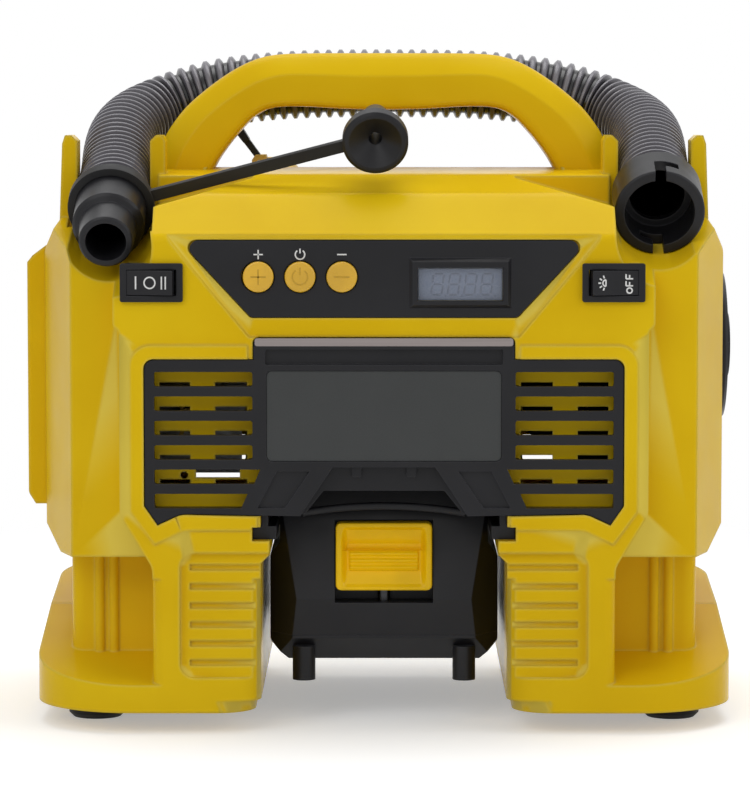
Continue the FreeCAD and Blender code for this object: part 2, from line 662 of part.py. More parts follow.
def cradle_lugs(body):
    """Two forks on the shoulders that hold the hose ends."""
    inner = "cradle_out - hose_r - gap"
    outer = "cradle_out + hose_r + gap"
    low = "shoulder_front - 4"
    lugs = (
        [(inner + " - lug_thick", low), (inner, low), (inner, "cradle_top - 2"), (inner + " - 2", "cradle_top"),
         (inner + " - lug_thick + 1", "cradle_top"), (inner + " - lug_thick", "cradle_top - 2")],
        [(outer, low), (outer + " + lug_thick + 1.5", low), (outer + " + lug_thick", "cradle_top - 3"),
         (outer + " + lug_thick - 1", "cradle_top"), (outer + " + 2", "cradle_top"), (outer, "cradle_top - 2")],
    )
    pad(body, "cradle_lugs", "XZ", "lug_back", "lug_front", *both(*lugs))


def trough(body, name, at, up, radius, start, end):
    """Room for a hose end: a rod along its tilted line, measured from the point where its height is given."""
    feature = body.newObject("PartDesign::Pad", name)
    sketch = draw(body, name + "_outline", "XZ", (("circle", at, "0", radius),), "0", "hose_tilt")
    sketch.setExpression("AttachmentOffset.Base.z", bound("fork_at + (%s) * cos(hose_tilt)" % start))
    sketch.setExpression("AttachmentOffset.Base.y", bound("%s - (%s) * sin(hose_tilt)" % (up, start)))
    feature.Profile = sketch
    feature.setExpression("Length", bound("(%s) - (%s)" % (end, start)))


def fascia_line(grow):
    """Outline of the black front plate, grown by a clearance."""
    return whole([
        ("fascia_mid + %s" % grow, "fascia_top + %s" % grow, 2),
        ("fascia_mid + %s" % grow, "grille_top + %s" % grow),
        ("fascia_half + %s" % grow, "grille_top + %s" % grow, 3.4),
        ("fascia_half + %s" % grow, "fascia_side_low"),
        ("tip_at", "fascia_tip - %s" % grow),
        ("tip_at - 8", "fascia_low + 0.8 - %s" % grow, 9),
        ("notch_low - %s" % grow, "fascia_low - %s" % grow),
        ("notch_top - %s" % grow, "notch_up - %s" % grow),
    ])


def bead():
    """The raised bead round one grille, as a strip along its top, side and bottom."""
    return [
        ("fascia_mid + 2", "grille_top + gap"), ("fascia_mid + 2", "grille_top + bead_wide"),
        ("fascia_half + bead_wide", "grille_top + bead_wide", 7), ("fascia_half + bead_wide", "fascia_side_low - 2"),
        ("tip_at + 1", "fascia_tip - bead_wide - 2"), ("tip_at - 9", "fascia_low - bead_wide", 8),
        ("bay_half + 1", "fascia_low - bead_wide"), ("bay_half + 1", "fascia_low - gap"),
        ("tip_at - 8", "fascia_low + 0.8 - gap", 9), ("tip_at", "fascia_tip - gap"),
        ("fascia_half + gap", "fascia_side_low"), ("fascia_half + gap", "grille_top + gap", 3.4),
    ]


def panel_line(grow):
    """Outline of the control panel, grown by a clearance."""
    return whole([
        ("panel_half_top + %s * 2" % grow, "panel_top + %s" % grow, 3),
        ("panel_half_low + %s" % grow, "panel_low - %s" % grow, 2),
    ])


def button_rings(radius):
    """A circle of this radius at each push button."""
    return [("circle", "button_at + %d * button_step" % k, "button_up", radius) for k in (-1, 0, 1)]


def slot_low(row):
    """Lower edge of a grille slot, counted from the top."""
    return "slot_first - %d * slot_pitch" % row


def front_openings(body):
    """Everything that is sunk or cut into the front half from outside."""
    bay = whole(bay_line())
    pad(body, "battery_bay", "XZ", "-1", "front_reach + 9", bay)
    pad(body, "fascia_seat", "XZ", "front_reach - fascia_deep", "front_reach + 9", fascia_line("gap"))
    field = whole([("panel_half_top + 6.6", "panel_top + 2"), ("fascia_mid + 1.5", "fascia_top + gap")])
    pad(body, "panel_field", "XZ", "front_reach - panel_sink", "front_reach + 9", field)
    pad(body, "panel_seat", "XZ", "front_reach - panel_sink - panel_thick", "front_reach + 9", panel_line("gap"))
    window = box("lcd_at - lcd_half", "lcd_low", "lcd_at + lcd_half", "lcd_high")
    pad(body, "panel_holes", "XZ", "front_reach - 12", "front_reach + 9", window, *button_rings("button_r + gap"))
    switches = [box(at + " - switch_half + 1", "switch_up - switch_half_high + 1", at + " + switch_half - 1",
                    "switch_up + switch_half_high - 1") for at in ("mode_at", "lamp_at")]
    pad(body, "switch_holes", "XZ", "front_reach - 30", "front_reach + 9", *switches)
    grip = box("bay_half - 3", "grip_low", "grip_in", "grip_high")
    grip[1] += (5,)
    grip[2] += (5,)
    pad(body, "grips", "XZ", "front_reach - grip_deep", "front_reach + 9", *both(grip))
    grooves = []
    for row in range(6):
        low = "grip_low + 4 + %d * groove_pitch" % row
        grooves.append(box("bay_half - 3", low, "grip_in - 3.4", low + " + groove_high"))
    pad(body, "grip_grooves", "XZ", "front_reach - grip_deep - 1.2", "front_reach - 1", *both(*grooves))
    slits = []
    for row in range(5):
        low, high = slot_low(row) + " - 0.6", slot_low(row) + " + 1"
        slits.append(box("slot_in + 2", low, "slot_in + 13", high))
        slits.append(box("slot_out - 12", low, "slot_out - 1.5", high))
    pad(body, "vents", "XZ", "front_reach - 14", "front_reach - fascia_deep + 1", *both(*slits))
    pad(body, "wire_window", "XZ", "front_reach - 14", "front_reach - fascia_deep + 1",
        box("-64.6", slot_low(4) + " + 1.4", "-49.5", slot_low(4) + " + slot_high + 0.6"),
        ("circle", "-68.6", slot_low(4) + " + 2.4", 1.3))
    pad(body, "screw_holes", "XZ", "-1", "14", *screw_rings("screw_r + 0.1"))
    for name, at, up in (("left", "-cradle_out", "nozzle_up"), ("right", "cradle_out", "collar_up")):
        trough(body, name + "_fitting_trough", at, up, "trough_r", "-8.5", "60")
        trough(body, name + "_hose_trough", at, up, "hose_r + gap", "-70", "0")
    way = box("cradle_out - trough_r", "-front_reach - 9", "cradle_out + trough_r", "-lug_front")
    pad(body, "fitting_way", "XY", "shoulder_front + 8", "cradle_top + 9", *both(way))
    way = box("cradle_out - hose_r - gap", "-lug_front - 1", "cradle_out + hose_r + gap", "-1")
    pad(body, "hose_way", "XY", "shoulder_top + 6", "cradle_top + 9", *both(way))
    pad(body, "strap_slope", "XZ", "valley_back", "front_reach + 9", *both(valley("0")))
    side_openings(body, 1)


def rear_openings(body):
    """Everything that is sunk or cut into the rear half from outside."""
    pad(body, "battery_bay", "XZ", "-rear_reach - 9", "1", whole(bay_line()))
    pad(body, "screw_holes", "XZ", "-rear_reach - 1", "1", *screw_rings("screw_r + 0.1"))
    pad(body, "screw_heads", "XZ", "-rear_reach - 1", "-rear_reach + screw_head_deep", *screw_rings("screw_head_r + gap"))
    lamp = box("-lamp_half - gap", "lamp_low - gap", "lamp_half + gap", "lamp_high + gap", 3)
    pad(body, "lamp_hole", "XZ", "-rear_reach - 9", "-rear_reach + 9", lamp)
    slots = []
    for row in range(5):
        low = "rear_vent_low + %d * 7" % row
        slots.append(box("rear_vent_at", low, "rear_vent_at + 26", low + " + 2.6"))
    pad(body, "rear_vents", "XZ", "-rear_reach - 9", "-rear_reach + 9", *both(*slots))
    pad(body, "hose_outlet", "XZ", "-rear_reach - 9", "-rear_reach + 9", ("circle", "line_left", "line_low", "fitting_r"))
    pad(body, "hinge_bore", "XY", "ear_low - 1", "ear_high + ear_high_size + 1", ("circle", "-hinge_x", "hinge_y", "pin_r"))
    side_openings(body, -1)


def side_openings(body, side):
    """What the tray, the blower port and the rubber feet need cut out of one half."""
    tray = box(depth(side, "-1"), "tray_low - gap", depth(side, "(tray_half + gap)"), "tray_high + gap")
    pad(body, "tray_hole", "YZ", "-hull_half - 9", "-hull_half + wall + 4", tray)
    pad(body, "pad_seats", "XY", "0", "foot_low + pad_sunk", *both(("circle", "pad_at", depth(side, "pad_front"), "pad_r + gap")))
    if side < 0:
        pad(body, "port_hole", "YZ", "hull_half - wall - 9", "hull_half + 9", ("circle", "port_back", "port_up", "spigot_r + 1.2"))


def hooks(body):
    """Hooks behind the rear face: a shelf below the pressure hose with a lip outside it."""
    lip = "line_back + line_r + gap"
    for k, (at, up) in enumerate((("-55", "line_low"), ("55", "line_low"), ("25", "line_low + 2 * line_turn")), 1):
        line = [
            ("rear_reach - 1", up + " - line_r - gap - wall"), (lip + " + wall", up + " - line_r - gap - wall"),
            (lip + " + wall", up + " + line_r / 2"), (lip, up + " + line_r / 2"), (lip, up + " - line_r - gap"),
            ("rear_reach - 1", up + " - line_r - gap"),
        ]
        pad(body, "hook_%d" % k, "YZ", at + " - 5", at + " + 5", line)


def rear_carriers(body):
    """The shelf and peg that the chuck is parked on, and the ears of the side cover's hinge."""
    shelf = box("chuck_at - chuck_body_r", "rear_reach - 1", "chuck_at + chuck_body_r", "line_back + chuck_body_r", 3)
    shelf[:2] = [corner[:2] for corner in shelf[:2]]
    pad(body, "chuck_shelf", "XY", "chuck_low - gap - wall", "chuck_low - gap", shelf)
    pad(body, "chuck_peg", "XY", "chuck_low - wall", "chuck_low + 8", ("circle", "chuck_at", "line_back", "peg_thick"))
    for name, low in (("low", "ear_low"), ("high", "ear_high")):
        web = [
            ("-hinge_x", "hinge_y - 1"), ("-hinge_x", "hinge_y + hinge_r - 0.2"),
            ("-hull_half + 1", "hinge_y + hinge_r + 2"), ("-hull_half + 1", "hinge_y - 1.6"),
        ]
        pad(body, "ear_web_" + name, "XY", low, low + " + ear_high_size", web)
        pad(body, "ear_" + name, "XY", low, low + " + ear_high_size", ("circle", "-hinge_x", "hinge_y", "hinge_r"))


def shell_half(name, side, reach, face, build_form, build_openings):
    """One half of the housing: its outer form, less its inside, less its openings."""
    form = DOC.addObject("PartDesign::Body", name + "_form")
    space = DOC.addObject("PartDesign::Body", name + "_space")
    openings = DOC.addObject("PartDesign::Body", name + "_openings")
    for body in (form, space, openings):
        body.AllowCompound = True
    build_form(form)
    spaces(space, side, reach, face)
    build_openings(openings)
    hollowed = DOC.addObject("Part::Cut", name + "_hollowed")
    hollowed.Base, hollowed.Tool = form, space
    shell = DOC.addObject("Part::Cut", name)
    shell.Base, shell.Tool = hollowed, openings
    shell.Label = name
    PARTS.append(shell)


def front_form(body):
    """Outer form of the front half."""
    outer_form(body, 1, "hull_reach", "front_reach")
    shield = whole([
        ("shield_half + field_extra", "shield_top", 5), ("shield_half + field_extra", "field_low", 2),
        ("shield_half", "field_low - 2", 2), ("shield_half", "shield_low", 6),
        ("leg_half", "leg_shoulder", 6), ("leg_half", "leg_shoulder - 4"),
    ])
    pad(body, "shield", "XZ", "hull_reach - 1", "front_reach", shield)
    pad(body, "crown", "YZ", "-crown_half", "crown_half", crown_line(1, "0"))
    pad(body, "grille_bead", "XZ", "front_reach", "front_reach + bead_high", *both(bead()))
    cradle_lugs(body)


def rear_form(body):
    """Outer form of the rear half, with the hooks and the clip that carry the pressure hose."""
    outer_form(body, -1, "rear_reach", "rear_reach")
    pad(body, "crown", "YZ", "-crown_half", "crown_half", crown_line(-1, "0"))
    hooks(body)
    rear_carriers(body)


def fascia_parts():
    """The black front plate with its grilles, the satin strip and the blank label insert."""
    face = "front_reach + fascia_proud"
    body = new_body("fascia_grille")
    pad(body, "plate", "XZ", "front_reach - fascia_deep", face, fascia_line("0"))
    back = box("slot_in + 1.5", "fascia_side_low + 0.4", "slot_out + 1.3", "grille_top - 1.6")
    cut(body, "behind_grilles", "XZ", "front_reach - fascia_deep - 1", face + " - fascia_thick", *both(back))
    for row in range(6):
        low, high = slot_low(row), slot_low(row) + " + slot_high"
        if row < 4:
            slot = box("slot_in", low, "slot_out", high, 0.8)
        else:
            inner = "slot_in - fifth_in" if row == 4 else "slot_in + sixth_out"
            slot = [(inner + " + slot_lean", low), ("slot_out", low, 0.8), ("slot_out", high, 0.8), (inner, high)]
        cut(body, "slots_%d" % (row + 1), "XZ", "front_reach - fascia_deep - 1", face + " + 1", *both(slot))
    ramp = [
        ("notch_low - 3.1", "notch_up - 1.4"), ("notch_low + 8.1", "notch_up - 1.4"),
        ("notch_low + 14.6", "fascia_low + 2.8"), ("notch_low + 5.4", "fascia_low + 2.8"),
    ]
    cut(body, "ramps", "XZ", face + " - ramp_deep", face + " + 1", *both(ramp))
    cut(body, "long_slot", "XZ", face + " - slit_deep", face + " + 1",
        box("-label_half - 0.5", "slit_low", "label_half + 0.5", "slit_low + slit_high", 0.6))
    cut(body, "label_seat_cut", "XZ", face + " - label_seat", face + " + 1",
        box("-label_half - 0.1", "label_low - 0.1", "label_half + 0.1", "label_high + 0.1", 2))
    cut(body, "strip_seat", "XZ", face + " - strip_thick", face + " + 1",
        box("-fascia_mid - 1", "fascia_top - strip_high", "fascia_mid + 1", "fascia_top + 1"))
    strip = new_body("fascia_trim_strip")
    pad(strip, "strip", "XZ", face + " - strip_thick", face,
        box("-fascia_mid + 0.4", "fascia_top - strip_high", "fascia_mid - 0.4", "fascia_top", 0.8))
    label = new_body("label_insert")
    pad(label, "sheet", "XZ", face + " - label_seat", face + " - label_seat + label_thick",
        box("-label_half", "label_low", "label_half", "label_high", 1.9))


def panel_parts():
    """Control panel with its display, its board and its three buttons."""
    back = "front_reach - panel_sink - panel_thick"
    face = "front_reach - panel_sink"
    body = new_body("control_panel")
    pad(body, "plate", "XZ", back, face, panel_line("0"))
    frame = box("lcd_at - lcd_half - bezel_wide", "lcd_low - bezel_wide + 0.4", "lcd_at + lcd_half + bezel_wide",
                "lcd_high + bezel_wide + 0.4")
    pad(body, "bezel", "XZ", face, face + " + bezel_proud", frame)
    soften(body, "bezel_slope", "bezel_proud * 0.9",
           lambda e: e.BoundBox.YLength < 0.01 and abs(e.CenterOfMass.y + number(face + " + bezel_proud")) < 0.01,
           "Chamfer")
    window = box("lcd_at - lcd_half", "lcd_low", "lcd_at + lcd_half", "lcd_high")
    cut(body, "holes", "XZ", back + " - 1", face + " + bezel_proud + 1", window, *button_rings("button_r + gap"))
    glass = new_body("lcd_window")
    pad(glass, "pane", "XZ", back + " + 0.6", face + " - 0.2",
        box("lcd_at - lcd_half + 0.15", "lcd_low + 0.15", "lcd_at + lcd_half - 0.15", "lcd_high - 0.15"))
    module = new_body("lcd_module")
    inner = back + " - wall"
    pad(module, "case", "XZ", "board_front", inner,
        box("lcd_at - lcd_half - 3", "lcd_low - 2", "lcd_at + lcd_half + 3", "lcd_high + 3"))
    pad(module, "display", "XZ", inner, back + " + 0.4",
        box("lcd_at - lcd_half + 0.5", "lcd_low + 0.5", "lcd_at + lcd_half - 0.5", "lcd_high - 0.5"))
    board = new_body("control_board")
    pad(board, "plate", "XZ", "board_front - 1.6", "board_front",
        box("button_at - button_step - 8", "panel_low + 3.4", "lcd_at + lcd_half + 6", "panel_top - 4"))
    taps = [box("button_at + %d * button_step - 3" % k, "button_up - 3", "button_at + %d * button_step + 3" % k,
                "button_up + 3") for k in (-1, 0, 1)]
    pad(board, "tact_switches", "XZ", "board_front", "board_front + 1.3", *taps)
    sensor = new_body("pressure_sensor")
    pad(sensor, "case", "XZ", "board_front - 7.6", "board_front - 1.6", box("-46", "151", "-36", "161"))
    pad(sensor, "port", "XZ", "board_front - 12", "board_front - 7.6", ("circle", "-41", "156", 2))
    for name, k in (("button_plus", -1), ("button_power", 0), ("button_minus", 1)):
        button = new_body(name)
        at = "button_at + %d * button_step" % k
        cap = "front_reach - panel_sink + button_proud"
        pad(button, "cap", "XZ", cap + " - 8.6", cap, ("circle", at, "button_up", "button_r"))
        pad(button, "stem", "XZ", "board_front + 1.3 + button_travel + gap", cap + " - 8.6",
            ("circle", at, "button_up", "button_stem"))
        soften(button, "cap_edge", 0.7,
               lambda e: e.BoundBox.YLength < 0.01 and abs(e.CenterOfMass.y + number(cap)) < 0.01)


def switch_parts(word, at, tilt):
    """One rocker switch: its framed body and the rocker on its two trunnions."""
    frame = new_body(word + "_switch_frame")
    face = "front_reach + switch_rim"
    pad(frame, "case", "XZ", face + " - switch_deep - switch_rim", "front_reach",
        box(at + " - switch_half + 1.3", "switch_up - switch_half_high + 1.3", at + " + switch_half - 1.3",
            "switch_up + switch_half_high - 1.3"))
    pad(frame, "flange", "XZ", "front_reach", face,
        box(at + " - switch_half", "switch_up - switch_half_high", at + " + switch_half",
            "switch_up + switch_half_high", 0.8))
    cut(frame, "well", "XZ", "rocker_pivot - 5.4", face + " + 1",
        box(at + " - rocker_half - 0.5", "switch_up - rocker_half_high - 0.25", at + " + rocker_half + 0.5",
            "switch_up + rocker_half_high + 0.25"))
    cut(frame, "trunnion_holes", "XY", "switch_up - rocker_half_high - 0.9", "switch_up + rocker_half_high + 0.9",
        ("circle", at, "-rocker_pivot", "trunnion_r + 0.05"))
    rocker = new_body(word + "_rocker")
    paddle = [
        ("-rocker_half", "-3.6"), ("0", "-2.7", 30), ("rocker_half", "-3.6"), ("rocker_half", "1.4", 1),
        ("2.4", "4", 1), ("-2.4", "4", 1), ("-rocker_half", "1.4", 1),
    ]
    pad(rocker, "paddle", "XY", "-rocker_half_high", "rocker_half_high", paddle)
    pad(rocker, "trunnions", "XY", "-rocker_half_high - 0.7", "rocker_half_high + 0.7",
        ("circle", "0", "0", "trunnion_r"))
    place(rocker, at, "-rocker_pivot", "switch_up", (0, 0, 1), tilt)


def battery_parts():
    """The slide-in pack, its latch and the dock that it hangs in."""
    ends = ("-pack_back", "pack_front")
    upper = new_body("battery_upper_case")
    profile = whole([
        ("hump_top", "pack_top", 2), ("hump_low", "rail_high"), ("pack_rail", "rail_high"),
        ("pack_rail", "rail_low + 0.1"), ("pack_neck", "rail_low + 0.1"), ("pack_neck", "pack_shoulder + 3"),
        ("pack_half", "pack_shoulder - 2", 3), ("pack_half", "pack_seam"),
    ])
    pad(upper, "block", "XZ", *ends, profile)
    nose = [
        ("-pack_front", "pack_seam + 13"), ("-pack_front + 6", "pack_shoulder + 10", 8),
        ("-pack_front + 9", "pack_top + 1"), ("-pack_front - 5", "pack_top + 1"), ("-pack_front - 5", "pack_seam + 13"),
    ]
    cut(upper, "nose", "YZ", "-pack_half - 1", "pack_half + 1", nose)
    chin = [
        ("-pack_front", "pack_seam + 13"), ("-pack_front - 5", "pack_seam + 13"), ("-pack_front - 5", "pack_seam - 1"),
        ("-pack_front + 2", "pack_seam - 1"), ("-pack_front + 2", "pack_seam"),
    ]
    cut(upper, "chin", "YZ", "-pack_half - 1", "pack_half + 1", chin)
    cut(upper, "cell_room", "XZ", "-pack_back + case_wall", "pack_front - 13",
        box("-pack_half + case_wall", "pack_seam - 1", "pack_half - case_wall", "pack_shoulder - 3"))
    cut(upper, "latch_room", "XZ", "pack_front - 11", "pack_front + 5",
        box("-latch_half - gap", "latch_low - latch_travel - gap", "latch_half + gap", "latch_high + gap"))
    slots = [box("contact_step * %d / 2 - 1.1" % k, "-20", "contact_step * %d / 2 + 1.1" % k, "pack_back + 1")
             for k in (-3, -1, 1, 3)]
    for slot in slots:
        slot[0] = (slot[0][0], "contact_from")
        slot[1] = (slot[1][0], "contact_from")
    cut(upper, "contact_slots", "XY", "pack_top - 7", "pack_top + 1", *slots)
    lower = new_body("battery_lower_case")
    tub = whole([
        ("pack_half", "pack_seam"), ("pack_half", "pack_seam - 3", 2), ("pack_half - 6.5", "pack_low"),
    ])
    pad(lower, "tub", "XZ", *ends, tub)
    jaw = [
        ("-pack_front + 2", "pack_seam + 1"), ("-pack_front - 5", "pack_seam + 1"), ("-pack_front - 5", "pack_low - 1"),
        ("-pack_front + 12", "pack_low - 1"), ("-pack_front + 11", "pack_low"), ("-pack_front + 2", "pack_seam - 1"),
    ]
    cut(lower, "jaw", "YZ", "-pack_half - 1", "pack_half + 1", jaw)
    cut(lower, "tub_room", "XZ", "-pack_back + case_wall", "pack_front - 13",
        box("-pack_half + case_wall + 5", "pack_low + case_wall", "pack_half - case_wall - 5", "pack_seam + 1"))
    pad(lower, "pegs", "XY", "peg_low", "pack_seam - 4", *both(("circle", "peg_at", "-pack_front + 6", "peg_r")))
    cells = new_body("battery_cells")
    row = [("circle", "-%d * cell_step" % k, "pack_low + case_wall + cell_r + 0.1", "cell_r") for k in (-2, -1, 0, 1, 2)]
    pad(cells, "cells", "YZ", "-cell_long / 2", "cell_long / 2", *row)
    contacts = new_body("battery_terminals")
    strips = [box("contact_step * %d / 2 - 1" % k, "contact_from + 1", "contact_step * %d / 2 + 1" % k, "pack_back - 1")
              for k in (-3, -1, 1, 3)]
    pad(contacts, "strips", "XY", "pack_top - 7", "pack_top - 5.8", *strips)
    latch = new_body("battery_latch")
    pad(latch, "key", "XZ", "pack_front - 10.5", "pack_front + 3",
        box("-latch_half", "latch_low", "latch_half", "latch_high", 1.6))
    slope = [
        ("-pack_front - 0.2", "latch_low - 1"), ("-pack_front + 4.4", "latch_high + 1"), ("-pack_front - 9", "latch_high + 1"),
        ("-pack_front - 9", "latch_low - 1"),
    ]
    cut(latch, "slope", "YZ", "-latch_half - 1", "latch_half + 1", slope)
    cut(latch, "thumb_room", "XZ", "pack_front - 4.6", "pack_front + 4",
        [("-12.2", "latch_low + 7.5"), ("12.2", "latch_low + 7.5"), ("10.4", "latch_low + 13.4"), ("-10.4", "latch_low + 13.4")])
    ribs = [box("-11", "latch_low + %s" % low, "11", "latch_low + %s" % (low + 1)) for low in (8.2, 10, 11.8)]
    pad(latch, "thumb_ribs", "XZ", "pack_front - 5", "pack_front - 3.1", *ribs)
    cut(latch, "spring_bore", "XY", "latch_low - 1", "latch_low + 13", ("circle", "0", "-pack_front + 7.6", "spring_r + 0.4"))
    spring = new_body("latch_spring")
    low = "latch_low - latch_travel - gap"
    pad(spring, "sleeve", "XY", low, "latch_low + 12.9", ("circle", "0", "-pack_front + 7.6", "spring_r"))
    cut(spring, "core", "XY", low + " - 1", "latch_low + 14", ("circle", "0", "-pack_front + 7.6", "spring_r - 0.6"))


def dock_parts():
    """The rails between the legs that the pack slides in, and their contact blades."""
    dock = new_body("battery_dock")
    lip = "rail_low - dock_lip"
    profile = whole([
        ("bay_half - 0.1", "bay_roof"), ("bay_half - 0.1", "rail_low - 0.1"), ("bay_half + dock_bite - 0.1", "rail_low - 0.1"),
        ("bay_half + dock_bite - 0.1", lip), ("pack_neck + 0.6", lip), ("pack_neck + 0.6", "rail_low - 0.3"),
        ("pack_rail + 0.5", "rail_low - 0.3"), ("pack_rail + 0.5", "rail_high + 0.4"), ("hump_low + 0.7", "rail_high + 0.4"),
        ("hump_top + 0.7", "pack_top + 0.7"),
    ])
    pad(dock, "rails", "XZ", "-dock_back", "front_reach - fascia_deep", profile)
    cut(dock, "lightening", "XZ", "-dock_back + 4", "front_reach - fascia_deep - 6",
        box("-pack_rail + 4", "pack_top + 3.4", "pack_rail - 4", "bay_roof + 1"))
    pad(dock, "stop", "XZ", "-dock_back - 3", "-dock_back", box("-pack_neck", "pack_shoulder + 6", "pack_neck", "bay_roof"))
    blades = new_body("dock_terminals")
    strips = [box("contact_step * %d / 2 - 0.5" % k, "contact_from + 4", "contact_step * %d / 2 + 0.5" % k, "dock_back")
              for k in (-3, -1, 1, 3)]
    pad(blades, "blades", "XY", "pack_top - 5.4", "pack_top + 0.7", *strips)


def foot_parts():
    """Rubber feet and the screws of the two shells."""
    feet = new_body("rubber_feet")
    spots = both(("circle", "pad_at", "-pad_front", "pad_r"), ("circle", "pad_at", "pad_front", "pad_r"))
    pad(feet, "feet", "XY", "0", "foot_low + pad_sunk", *spots)
    soften(feet, "feet_edges", 1.6, lambda e: e.BoundBox.ZLength < 0.01 and e.CenterOfMass.z < 0.01, "Chamfer")
    screws = new_body("housing_screws")
    pad(screws, "heads", "XZ", "-rear_reach + 0.8", "-rear_reach + screw_head_deep", *screw_rings("screw_head_r"))
    pad(screws, "shanks", "XZ", "-rear_reach + screw_head_deep", "12", *screw_rings("screw_r"))


def lamp_parts():
    """Work lamp on the rear face: a tray-shaped lens and its board."""
    lens = new_body("lamp_lens")
    pad(lens, "lens", "XZ", "-rear_reach - 0.6", "-rear_reach + 8", box("-lamp_half", "lamp_low", "lamp_half", "lamp_high", 2.7))
    cut(lens, "lens_room", "XZ", "-rear_reach + 1.6", "-rear_reach + 9",
        box("-lamp_half + 2", "lamp_low + 2", "lamp_half - 2", "lamp_high - 2", 1))
    board = new_body("lamp_board")
    pad(board, "plate", "XZ", "-rear_reach + 8", "-rear_reach + 9.6", box("-lamp_half", "lamp_low", "lamp_half", "lamp_high"))
    leds = [box("%d * 9.5 - 2.5" % k, "(lamp_low + lamp_high) / 2 - 2.5", "%d * 9.5 + 2.5" % k, "(lamp_low + lamp_high) / 2 + 2.5")
            for k in (-2.5, -1.5, -0.5, 0.5, 1.5, 2.5)]
    for led, k in zip(leds, (-2.5, -1.5, -0.5, 0.5, 1.5, 2.5)):
        led[0] = ("%s * 9.5 - 2.5" % k, led[0][1])
        led[1] = ("%s * 9.5 + 2.5" % k, led[1][1])
        led[2] = ("%s * 9.5 + 2.5" % k, led[2][1])
        led[3] = ("%s * 9.5 - 2.5" % k, led[3][1])
    pad(board, "leds", "XZ", "-rear_reach + 6.6", "-rear_reach + 8", *leds)


def side_cover_parts():
    """Hinged cover on the left, the tray behind it and the two adapters kept there."""
    cover = new_body("accessory_cover")
    line = [
        ("-hull_half - gap", "cover_high"), ("-side_reach + 2", "cover_high - 16", 4), ("-side_reach", "cover_high - 20"),
        ("-side_reach", "cover_low + 4", 3), ("-side_reach + 2.5", "cover_low"), ("-hull_half - gap", "cover_low"),
    ]
    pad(cover, "cover", "XZ", "-cover_half", "cover_half", line)
    room = [
        ("-hull_half + 1", "cover_high - 5"), ("-side_reach + 4", "cover_high - 18"), ("-side_reach + 2", "cover_high - 22"),
        ("-side_reach + cover_thick", "cover_low + 4"), ("-side_reach + cover_thick + 1", "cover_low + cover_thick"),
        ("-hull_half + 1", "cover_low + cover_thick"),
    ]
    cut(cover, "cover_room", "XZ", "-cover_half + cover_thick", "cover_half - cover_thick", room)
    knuckle_low, knuckle_high = "ear_low + ear_high_size + gap", "ear_high - gap"
    web = [("-side_reach + 1", "cover_half - 0.5"), ("-hull_half - gap - 0.6", "cover_half - 0.5"),
           ("-hinge_x + 0.9", "hinge_y"), ("-hinge_x - 1.6", "hinge_y")]
    pad(cover, "knuckle_web", "XY", knuckle_low, knuckle_high, web)
    pad(cover, "knuckle", "XY", knuckle_low, knuckle_high, ("circle", "-hinge_x", "hinge_y", "hinge_r"))
    cut(cover, "knuckle_bore", "XY", knuckle_low + " - 1", knuckle_high + " + 1", ("circle", "-hinge_x", "hinge_y", "pin_r + 0.05"))
    pin = new_body("cover_hinge_pin")
    pad(pin, "pin", "XY", "ear_low", "ear_high + ear_high_size", ("circle", "-hinge_x", "hinge_y", "pin_r"))
    tray = new_body("accessory_tray")
    pad(tray, "tray", "YZ", "-hull_half", "-hull_half + tray_deep", box("-tray_half", "tray_low", "tray_half", "tray_high"))
    cut(tray, "tray_room", "YZ", "-hull_half - 1", "-hull_half + tray_deep - tray_wall",
        box("-tray_half + tray_wall", "tray_low + tray_wall", "tray_half - tray_wall", "tray_high - tray_wall"))
    for name, low in (("low", "tray_low + 13"), ("high", "tray_low + 27")):
        shelf = box("-hull_half + 3", "-tray_half + 1", "-hull_half + tray_deep - 1", "tray_half - 1")
        pad(tray, name + "_rack", "XY", low, low + " + 2", shelf)
    seats = (("circle", "-hull_half + 9", "-9", "4.3"), ("circle", "-hull_half + 9", "9", "4.6"))
    slots = (box("-hull_half", "-9 - 3.6", "-hull_half + 9", "-9 + 3.6"), box("-hull_half", "9 - 3.8", "-hull_half + 9", "9 + 3.8"))
    cut(tray, "rack_seats", "XY", "tray_low + 12", "tray_high - 9", *seats)
    cut(tray, "rack_slots", "XY", "tray_low + 12", "tray_high - 9", *slots)
    needle = new_body("ball_needle")
    turn(needle, "needle", "XZ", [
        ("0", "0"), ("4.2", "0"), ("4.2", "18"), ("2.2", "19"), ("2.2", "24"), ("1.1", "25"), ("1.1", "49"), ("0", "50"),
    ])
    place(needle, "-hull_half + 9", "-9", "tray_low + tray_wall + 0.4")
    adapter = new_body("valve_adapter")
    turn(adapter, "adapter", "XZ", [
        ("1.6", "0"), ("4.5", "0"), ("4.5", "20"), ("3.4", "21"), ("3.4", "31"), ("1.6", "31"),
    ])
    place(adapter, "-hull_half + 9", "9", "tray_low + tray_wall + 0.4")


def port_part():
    """Outlet of the blower on the right side, with the spigot and pins that the collar locks on."""
    port = new_body("blower_port")
    turn(port, "port", "XZ", [
        ("spigot_bore", "hull_half - 9"), ("spigot_r", "hull_half - 9"), ("spigot_r", "hull_half"), ("port_r", "hull_half"),
        ("port_r", "side_reach - 3"), ("port_r - 1", "side_reach - 2"), ("port_r - 3", "side_reach - 2"),
        ("port_r - 4.6", "hull_half + 2"), ("spigot_r", "hull_half + 2"), ("spigot_r", "side_reach"), ("spigot_bore", "side_reach"),
    ])
    studs = box("-1.4", "-spigot_r - 2.2", "1.4", "-spigot_r + 1"), box("-1.4", "spigot_r - 1", "1.4", "spigot_r + 2.2")
    pad(port, "studs", "XY", "side_reach - 3", "side_reach - 0.6", *studs)
    place(port, "0", "port_back", "port_up", (0, 1, 0), "90")


